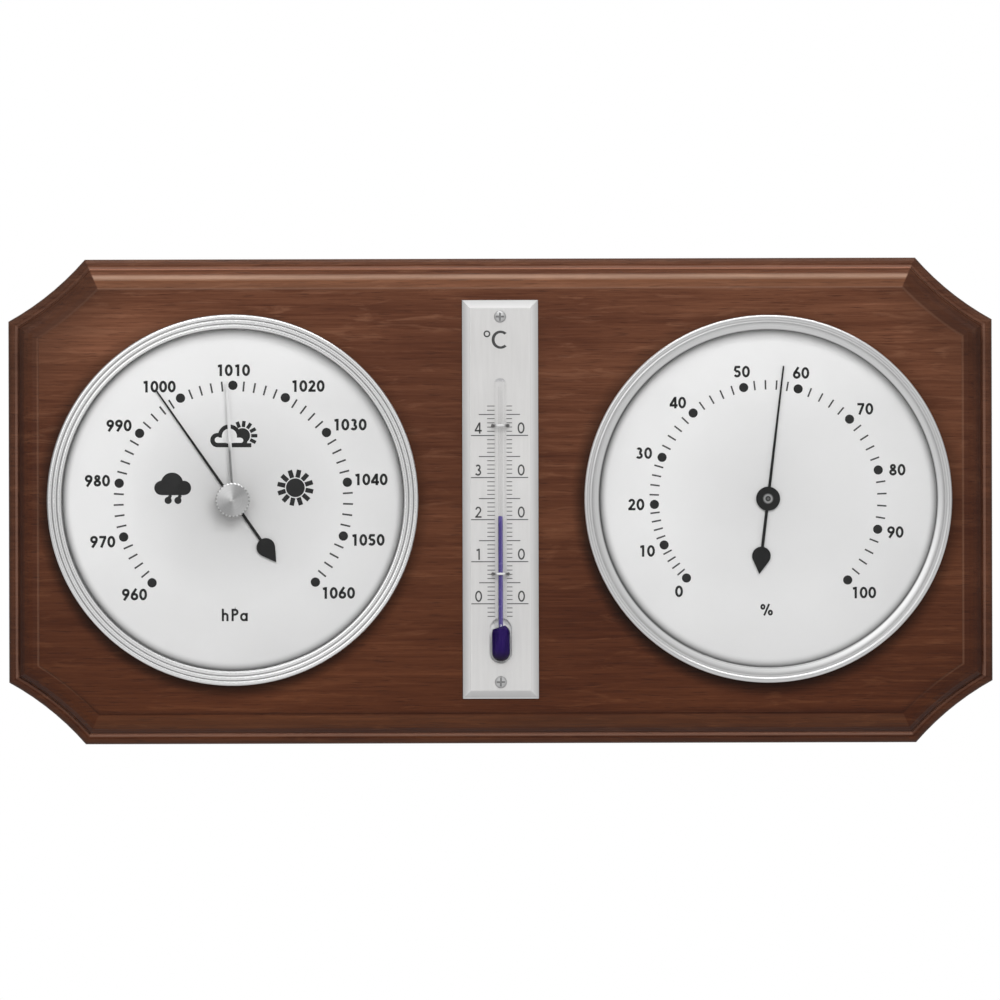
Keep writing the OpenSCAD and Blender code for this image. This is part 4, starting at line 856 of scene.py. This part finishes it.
def dial_scale(name, centre, dots, circle, dot, reach, width):
    """Dots at angles from the top, with four ticks in each span between them. The radii of the
    dots' circle and of a dot and the ticks' reach are in pixels, their width in millimetres."""
    marks, ticks = Print(centre, DIAL_FACE), Print(centre, DIAL_FACE)
    for angle in dots:
        at = polar(circle * PX, angle)
        marks.add(disc(at.x, at.y, dot * PX))
    for angle, following in zip(dots, dots[1:]):
        for k in range(1, 5):
            between = angle + (following - angle) * k / 5
            ticks.add(tick(between, reach[0] * PX, reach[1] * PX, width))
    marks.build(name + "_scale_marks", INK, "hand_black")
    ticks.build(name + "_scale_ticks", TICK_INK, "hand_black")


def dial_words(name, centre, centre_px, labels, height, weight):
    """Labels, each with the pixel of its middle. Their height is in pixels."""
    words = Print(centre, DIAL_FACE)
    for label, px, py in labels:
        x, y = from_photo(px, py, centre_px)
        words.text(label, x, y, height * PX, weight)
    words.build(name, INK, "hand_black")


# Barometer scale: ten even spans, on a centre a little off the instrument's axis
SCALE_CENTRE = (BARO[0] + 0.15, BARO[1] - 0.21)
BARO_DOTS = [-135.1 + 27.0 * i for i in range(11)]
BARO_NUMBERS_PX = (
    ("960", 133.9, 593.9), ("970", 102.1, 541.1), ("980", 96.8, 480.1), ("990", 118.4, 424.9),
    ("1000", 158.2, 386.0), ("1010", 232.5, 369.6), ("1020", 307.1, 385.4),
    ("1030", 349.1, 424.0), ("1040", 370.1, 478.8), ("1050", 367.1, 539.3),
    ("1060", 337.5, 592.3))
BARO_UNIT_PX = (("hPa", 234.1, 614.3),)
dial_scale("barometer", SCALE_CENTRE, BARO_DOTS, circle=115.5, dot=4.7, reach=(109.7, 119.7),
           width=0.5)
dial_words("barometer_numbers", BARO, BARO_PX, BARO_NUMBERS_PX, height=11.7, weight=0.215)
dial_words("barometer_unit", BARO, BARO_PX, BARO_UNIT_PX, height=12.5, weight=0.175)


class Picture(Print):
    """Weather pictures of simple discs and lines, placed and sized in pixels of the photo. What
    is drawn over something else lies a layer higher, in millimetres."""

    LAYER = 0.001

    def disc(self, px, py, r, lift=0.0):
        x, y = from_photo(px, py, BARO_PX)
        self.add(disc(x, y, r * PX), lift)

    def line(self, start, end, width, lift=0.0):
        ends = [from_photo(px, py, BARO_PX) for px, py in (start, end)]
        for quad in stroke(ends, width * PX):
            self.add(quad, lift)

    def sun(self, px, py, r, rays, inner, outer, width):
        """A disc with rays at angles from the top."""
        self.disc(px, py, r)
        for degrees in rays:
            across, up = sin(radians(degrees)), cos(radians(degrees))
            self.line((px + inner * across, py - inner * up),
                      (px + outer * across, py - outer * up), width)

    def cloud(self, puffs, base, width, lift):
        """Discs, each (px, py, radius), and a thick line under them, in rising layers."""
        for k, (px, py, r) in enumerate(puffs):
            self.disc(px, py, r, lift + self.LAYER * k)
        self.line(*base, width, lift + self.LAYER * len(puffs))


# Rain is a filled cloud with two drops, fair a sun behind an open cloud, dry a sun alone
RAIN_PUFFS_PX = ((160.9, 487.3, 7.2), (171.5, 483.1, 11.2), (183.4, 487.3, 7.2))
RAIN_BASE_PX = ((160.9, 489.4), (183.4, 489.4))
DROPS_PX = ((167.6, 499.8), (177.4, 499.8))
FAIR_SUN_PX = (241.9, 435.1)
FAIR_PUFFS_PX = ((216.9, 439.5, 7.2), (228.8, 435.3, 11.5), (240.8, 440.8, 6.0))
FAIR_BASE_PX = ((216.9, 441.4), (240.8, 441.4))
FAIR_TAIL_PX = ((239.5, 444.6), (250.8, 444.6))
INSIDE_PUFFS_PX = ((217.1, 439.3, 2.9), (228.8, 435.5, 7.5), (240.2, 439.8, 2.5))
INSIDE_BASE_PX = ((217.1, 439.6), (240.2, 439.6))
DRY_SUN_PX = (294.8, 487.1)

pictures = Picture(BARO, DIAL_FACE)
pictures.cloud(RAIN_PUFFS_PX, RAIN_BASE_PX, 10.4, lift=0.0)
for px, py in DROPS_PX:
    pictures.disc(px, py, 3.6)
    pictures.line((px + 0.5, py - 1.2), (px + 2.4, py - 5.4), 3.4, Picture.LAYER)
pictures.sun(*FAIR_SUN_PX, 7.6, (-21, 6, 34, 62, 90, 117), 8.7, 14.9, 3.5)
pictures.cloud(FAIR_PUFFS_PX, FAIR_BASE_PX, 10.6, lift=Picture.LAYER)
pictures.line(*FAIR_TAIL_PX, 4.2)
pictures.sun(*DRY_SUN_PX, 9.4, [12 + 30 * k for k in range(12)], 10.3, 18.2, 4.6)
pictures.build("barometer_pictures", INK, "hand_black")

# The white inside of the open cloud lies over its ink
ground = Picture(BARO, DIAL_FACE)
ground.cloud(INSIDE_PUFFS_PX, INSIDE_BASE_PX, 5.2, lift=0.03)
ground.build("barometer_cloud_ground", DIAL_WHITE, "dial_white")

# Hygrometer scale: uneven spans
HYGRO_DOTS = (-134.05, -113.85, -92.75, -68.55, -41.05, -12.25, 15.45, 45.85, 75.55, 105.75,
              135.75)
HYGRO_NUMBERS_PX = (
    ("0", 678.5, 590.8), ("10", 646.2, 550.4), ("20", 635.6, 504.0), ("30", 643.3, 452.6),
    ("40", 677.3, 402.1), ("50", 741.1, 371.1), ("60", 800.5, 372.4), ("70", 864.5, 408.3),
    ("80", 896.7, 469.2), ("90", 894.8, 531.5), ("100", 863.1, 592.0))
HYGRO_UNIT_PX = (("%", 766.1, 609.2),)
dial_scale("hygrometer", HYGRO, HYGRO_DOTS, circle=113.8, dot=4.6, reach=(109.2, 118.6),
           width=0.46)
dial_words("hygrometer_numbers", HYGRO, HYGRO_PX, HYGRO_NUMBERS_PX, height=11.6, weight=0.205)
dial_words("hygrometer_unit", HYGRO, HYGRO_PX, HYGRO_UNIT_PX, height=11.6, weight=0.17)

# Thermometer scale: a mark a degree on both sides of the tube, longer at fives and at tens. Each
# kind has its reach to the left and to the right in pixels, and its width in millimetres
ONES, FIVES, TENS = (-13.2, 11.8, 0.23), (-21.5, 19.8, 0.27), (-29.4, 27.8, 0.29)
BESIDE_TUBE_PX = (-5.6, 6.2)
DIGITS_PX = (-22.1, 20.8)
DIGIT_RISE_PX = 7.5
# Where zero lies, from the plate's middle, and the height of a degree, in millimetres
ZERO_Z, DEGREE = -29.7, 1.197
marks = Print(PLATE, PLATE_FACE)
for t in range(-3, 48):
    y = ZERO_Z + DEGREE * t
    left, right, width = TENS if t % 10 == 0 else FIVES if t % 5 == 0 else ONES
    for a, b in ((left, BESIDE_TUBE_PX[0]), (BESIDE_TUBE_PX[1], right)):
        marks.add(bar(a * PX, y - width / 2, b * PX, y + width / 2))
marks.build("thermometer_scale_marks", THIN_INK, "hand_black")

numbers = Print(PLATE, PLATE_FACE)
for t in range(0, 50, 10):
    y = ZERO_Z + DEGREE * t + DIGIT_RISE_PX * PX
    for digit, x in zip((str(t // 10), "0"), DIGITS_PX):
        numbers.text(digit, x * PX, y, 11.2 * PX, 0.145, stretch=0.92)
numbers.build("thermometer_numbers", TICK_INK, "hand_black")

C_PX, DEGREE_SIGN_PX = (499.6, 339.2), (486.4, 333.4)
unit = Print(PLATE, PLATE_FACE)
x, y = from_photo(*C_PX, PLATE_PX)
unit.text("C", x, y, 18.2 * PX, 0.135, stretch=1.23)
x, y = from_photo(*DEGREE_SIGN_PX, PLATE_PX)
for quad in stroke(loop(x, y, 2.7 * PX, 2.7 * PX, 24), 0.42, closed=True):
    unit.add(quad)
unit.build("thermometer_unit", TICK_INK, "hand_black")


# Turned bezels

def swell(r0, r1, base, rise, steps=10):
    """Points of a low arch between two radii."""
    half = (r1 - r0) / 2
    big = (half ** 2 + rise ** 2) / (2 * rise)
    reach = asin(half / big)
    return [((r0 + r1) / 2 + big * sin(t), base + rise - big + big * cos(t))
            for t in (reach * (2 * i / steps - 1) for i in range(steps + 1))]


def lathe(name, profile, at, material, steps=360):
    """Turns a closed outline of (radius, height) in millimetres round an instrument's axis."""
    n = len(profile)
    verts = [((at[0] + r * sin(2 * pi * k / steps)) * MM, -h * MM,
              (at[1] + r * cos(2 * pi * k / steps)) * MM)
             for k in range(steps) for r, h in profile]
    faces = []
    for k in range(steps):
        a, b = k * n, (k + 1) % steps * n
        faces += [[a + i, a + (i + 1) % n, b + (i + 1) % n, b + i] for i in range(n)]
    return add_piece(name, verts, faces, material, smooth_below=38)


# The barometer's ring: three reeds, each after a groove. A reed has the groove's radius, and the
# radii where it starts and ends
REEDS = ((48.62, 48.72, 50.02), (50.08, 50.14, 51.38), (51.44, 51.50, 52.62))
reeds = [(BARO_SIGHT, GLASS_TOP), (BARO_SIGHT, LIP - 0.1)]
for groove, start, end in REEDS:
    reeds += [(groove, LIP + 0.12)] + swell(start, end, LIP + 0.30, 0.30)
reeds += [(BARO_RIM - 0.05, LIP + 0.05), (BARO_RIM, LIP - 0.35), (BARO_RIM - 0.15, LIP - 0.75),
          (BARO_RIM - 0.15, BEZEL_FOOT), (BARO_BORE, BEZEL_FOOT), (BARO_BORE, GLASS_TOP)]
ring = lathe("barometer_reeded_ring", reeds[::-1], BARO, BARO_CHROME)
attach(ring, "housing")
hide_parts("barometer_bezel")

# The hygrometer's ring: a flat slope that rises outwards, a fine groove and a roll
SLOPE_FROM, SLOPE_TO, SLOPE = 48.25, 50.50, 0.18
ROLL_AT, ROLL_R, ROLL_RISE = 51.52, 0.80, 0.78
plain = [(HYGRO_SIGHT, GLASS_TOP), (HYGRO_SIGHT, LIP - 0.12), (HYGRO_SIGHT + 0.17, LIP + 0.08)]
plain += swell(SLOPE_FROM, SLOPE_TO, LIP + 0.16, 0.12)[:-1]
plain = [(r, h + max(0.0, r - SLOPE_FROM) * SLOPE) for r, h in plain]
plain += [(50.56, LIP + 0.52), (50.72, LIP + 0.40), (50.84, LIP + 0.50)]
plain += [(ROLL_AT + ROLL_R * sin(t), LIP + 0.02 + ROLL_RISE * cos(t))
          for t in (radians(-52 + 12 * i) for i in range(15))]
plain += [(HYGRO_RIM, LIP - 0.55), (HYGRO_RIM, BEZEL_FOOT), (HYGRO_BORE, BEZEL_FOOT),
          (HYGRO_BORE, GLASS_TOP)]
ring = lathe("hygrometer_plain_ring", plain[::-1], HYGRO, HYGRO_CHROME)
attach(ring, "housing")
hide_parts("hygrometer_bezel")


# Liquid in the thermometer

# The round glass makes its thread look wider than the bore, and the bulb look filled. These are
# the radii that it seems to have, in millimetres
COLUMN_SEEN_R, BULB_SEEN_R = 0.66, 2.62
SIDES = 32

low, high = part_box("liquid_column")
STEM = (low + high) / 2


def loft(name, slices, material, shift=0.0, surface=None):
    """A closed body of round slices, each (height, radius) in metres, about the tube's axis or
    shifted to its right. A surface, (level, slope), cuts it off with a slanted top."""
    verts, faces = [], []
    for height, radius in slices:
        for k in range(SIDES):
            a = 2 * pi * k / SIDES
            x, z = STEM.x + shift + radius * cos(a), height
            if surface:
                z = min(z, surface[0] + surface[1] * (x - STEM.x))
            verts.append((x, STEM.y + radius * sin(a), z))
    for i in range(len(slices) - 1):
        a, b = i * SIDES, (i + 1) * SIDES
        faces += [[a + k, a + (k + 1) % SIDES, b + (k + 1) % SIDES, b + k] for k in range(SIDES)]
    faces.append(list(range(SIDES))[::-1])
    faces.append(list(range(len(verts) - SIDES, len(verts))))
    piece = add_piece(name, verts, faces, material, smooth_below=40)
    return piece


# The thread starts below its solid, and has many slices
SLICES = 120
foot = low.z - 0.0016
column = loft("violet_column", [(foot + (high.z - foot) * i / SLICES, COLUMN_SEEN_R * MM)
                                for i in range(SLICES + 1)], LIQUID)
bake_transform(column)
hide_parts("liquid_column")

low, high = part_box("liquid_meniscus")
dome = 0.00022
crown = loft("violet_crown", [(low.z, COLUMN_SEEN_R * MM)] + [
    (high.z - dome + dome * sin(radians(t)),
     COLUMN_SEEN_R * MM * cos(radians(t))) for t in range(0, 90, 15)], LIQUID)
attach(crown, "liquid_top")
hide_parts("liquid_meniscus")

# The bulb's liquid: its highest round slice, how far it is off the tube's axis, and its surface,
# in metres
BULB_NECK, BULB_SHIFT, BULB_TOP = -0.03515, 0.00006, (-0.0358, 0.30)
low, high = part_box("thermometer_tube")
foot = low.z + 0.0001
wide = BULB_SEEN_R * MM
slices = [(foot + wide * (1 - cos(radians(t))), wide * sin(radians(t)))
          for t in range(4, 90, 7)]
slices += [(foot + wide + (BULB_NECK - foot - 2 * wide) * i / 8, wide) for i in range(9)]
slices += [(BULB_NECK - wide + wide * sin(radians(t)),
            wide * cos(radians(t))) for t in range(5, 86, 5)]
bulb = loft("violet_bulb", slices, BULB_LIQUID, shift=BULB_SHIFT, surface=BULB_TOP)
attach(bulb, "housing")
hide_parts("bulb_liquid")


# Floor, world, lamps and camera

def make_floor():
    """Pale floor: it takes the object's shadow, and looks lighter straight on and in mirrors."""
    s = Surface("pale_floor", Roughness=0.7)
    cloud = s.noise(3.0, 3.0, 0.5)
    s.colour(s.blend(s.span(cloud, 0.4, 0.6), grey(222), grey(228)))
    path = s.add("ShaderNodeLightPath")
    seen = s.most(path.outputs["Is Camera Ray"],
                  s.most(path.outputs["Is Glossy Ray"], path.outputs["Is Transmission Ray"]))
    white = s.fill(s.add("ShaderNodeEmission"), Strength=1.0)
    s.mix(s.times(seen, 0.55), s.shader, white, s.out)
    return s.material


bpy.ops.mesh.primitive_circle_add(vertices=96, radius=1.6, fill_type="NGON",
                                  location=(0, -0.1, -0.2))
floor = bpy.context.object
floor.name = "floor"
floor.data.materials.append(make_floor())

# Strength of the soft room: straight ahead and round about in mirrors, and as light
ROOM_AHEAD, ROOM_ROUND, ROOM_LIGHT = 0.2, 0.78, 0.17


def make_world():
    """White behind the object, and a soft room in front of it: bright round about and above,
    darker straight ahead, where the camera stands."""
    world = bpy.data.worlds.new("studio")
    scene.world = world
    world.use_nodes = True
    s = Nodes(world.node_tree)

    def smooth(value, low, high, to_low, to_high):
        return s.span(value, low, high, to_low, to_high, interpolation_type="SMOOTHSTEP")

    path = s.add("ShaderNodeLightPath")
    split = s.add("ShaderNodeSeparateXYZ")
    s.link(s.add("ShaderNodeTexCoord").outputs["Generated"], split.inputs[0])
    _, y, z = split.outputs
    ahead = s.times(smooth(y, -0.995, -0.94, ROOM_AHEAD, ROOM_ROUND),
                    smooth(y, -0.2, 0.25, 1.0, 0.35))
    height = smooth(z, -0.8, 0.8, 0.75, 1.25)
    glossy = path.outputs["Is Glossy Ray"]
    seen = s.plus(s.times(glossy, ahead), s.times(s.minus(1.0, glossy), ROOM_LIGHT))
    behind = smooth(y, 0.6, 0.9, 0.0, 1.0)

    soft = s.fill(s.add("ShaderNodeBackground"), Color=(1, 1, 1, 1))
    s.link(s.times(seen, height), soft.inputs["Strength"])
    white = s.fill(s.add("ShaderNodeBackground"), Color=(1, 1, 1, 1), Strength=1.0)
    straight = s.most(path.outputs["Is Camera Ray"], path.outputs["Is Transmission Ray"])
    mirrored = s.times(glossy, behind)
    s.mix(s.most(straight, mirrored), soft, white, s.add("ShaderNodeOutputWorld"))


make_world()


def lamp(name, place, target, size, power, glossy=True):
    data = bpy.data.lights.new(name, "AREA")
    data.shape = "RECTANGLE"
    data.size, data.size_y = size
    data.energy = power
    ob = bpy.data.objects.new(name, data)
    ob.visible_glossy = glossy
    scene.collection.objects.link(ob)
    ob.location = place
    ob.rotation_euler = (Vector(target) - Vector(place)).to_track_quat("-Z", "Y").to_euler()


lamp("top_strip", (0.0, -0.16, 1.1), (0, 0, 0), (1.3, 0.3), 5.4)
lamp("left_softbox", (-0.50, -1.32, 0.50), (0, 0, 0), (0.8, 0.8), 1.8)
lamp("key_softbox", (0.25, -2.0, 0.62), (0, 0, 0), (0.8, 0.8), 16.4, glossy=False)
lamp("front_fill", (0.0, -3.0, 0.35), (0, 0, 0), (2.2, 2.2), 36.0, glossy=False)

# The sensor's width in millimetres, and how far off the camera stands, in metres
SENSOR_WIDTH, DISTANCE = 36.0, 12.0
camera_data = bpy.data.cameras.new("camera")
camera_data.sensor_width = SENSOR_WIDTH
camera_data.lens = SENSOR_WIDTH * DISTANCE / PHOTO_WIDTH
camera_data.clip_end = 100.0
camera = bpy.data.objects.new("camera", camera_data)
camera.location = (-0.00013, -DISTANCE, 0.00027)
camera.rotation_euler = (radians(90), ROLL, 0)
scene.collection.objects.link(camera)
scene.camera = camera

scene.view_settings.view_transform = "Standard"
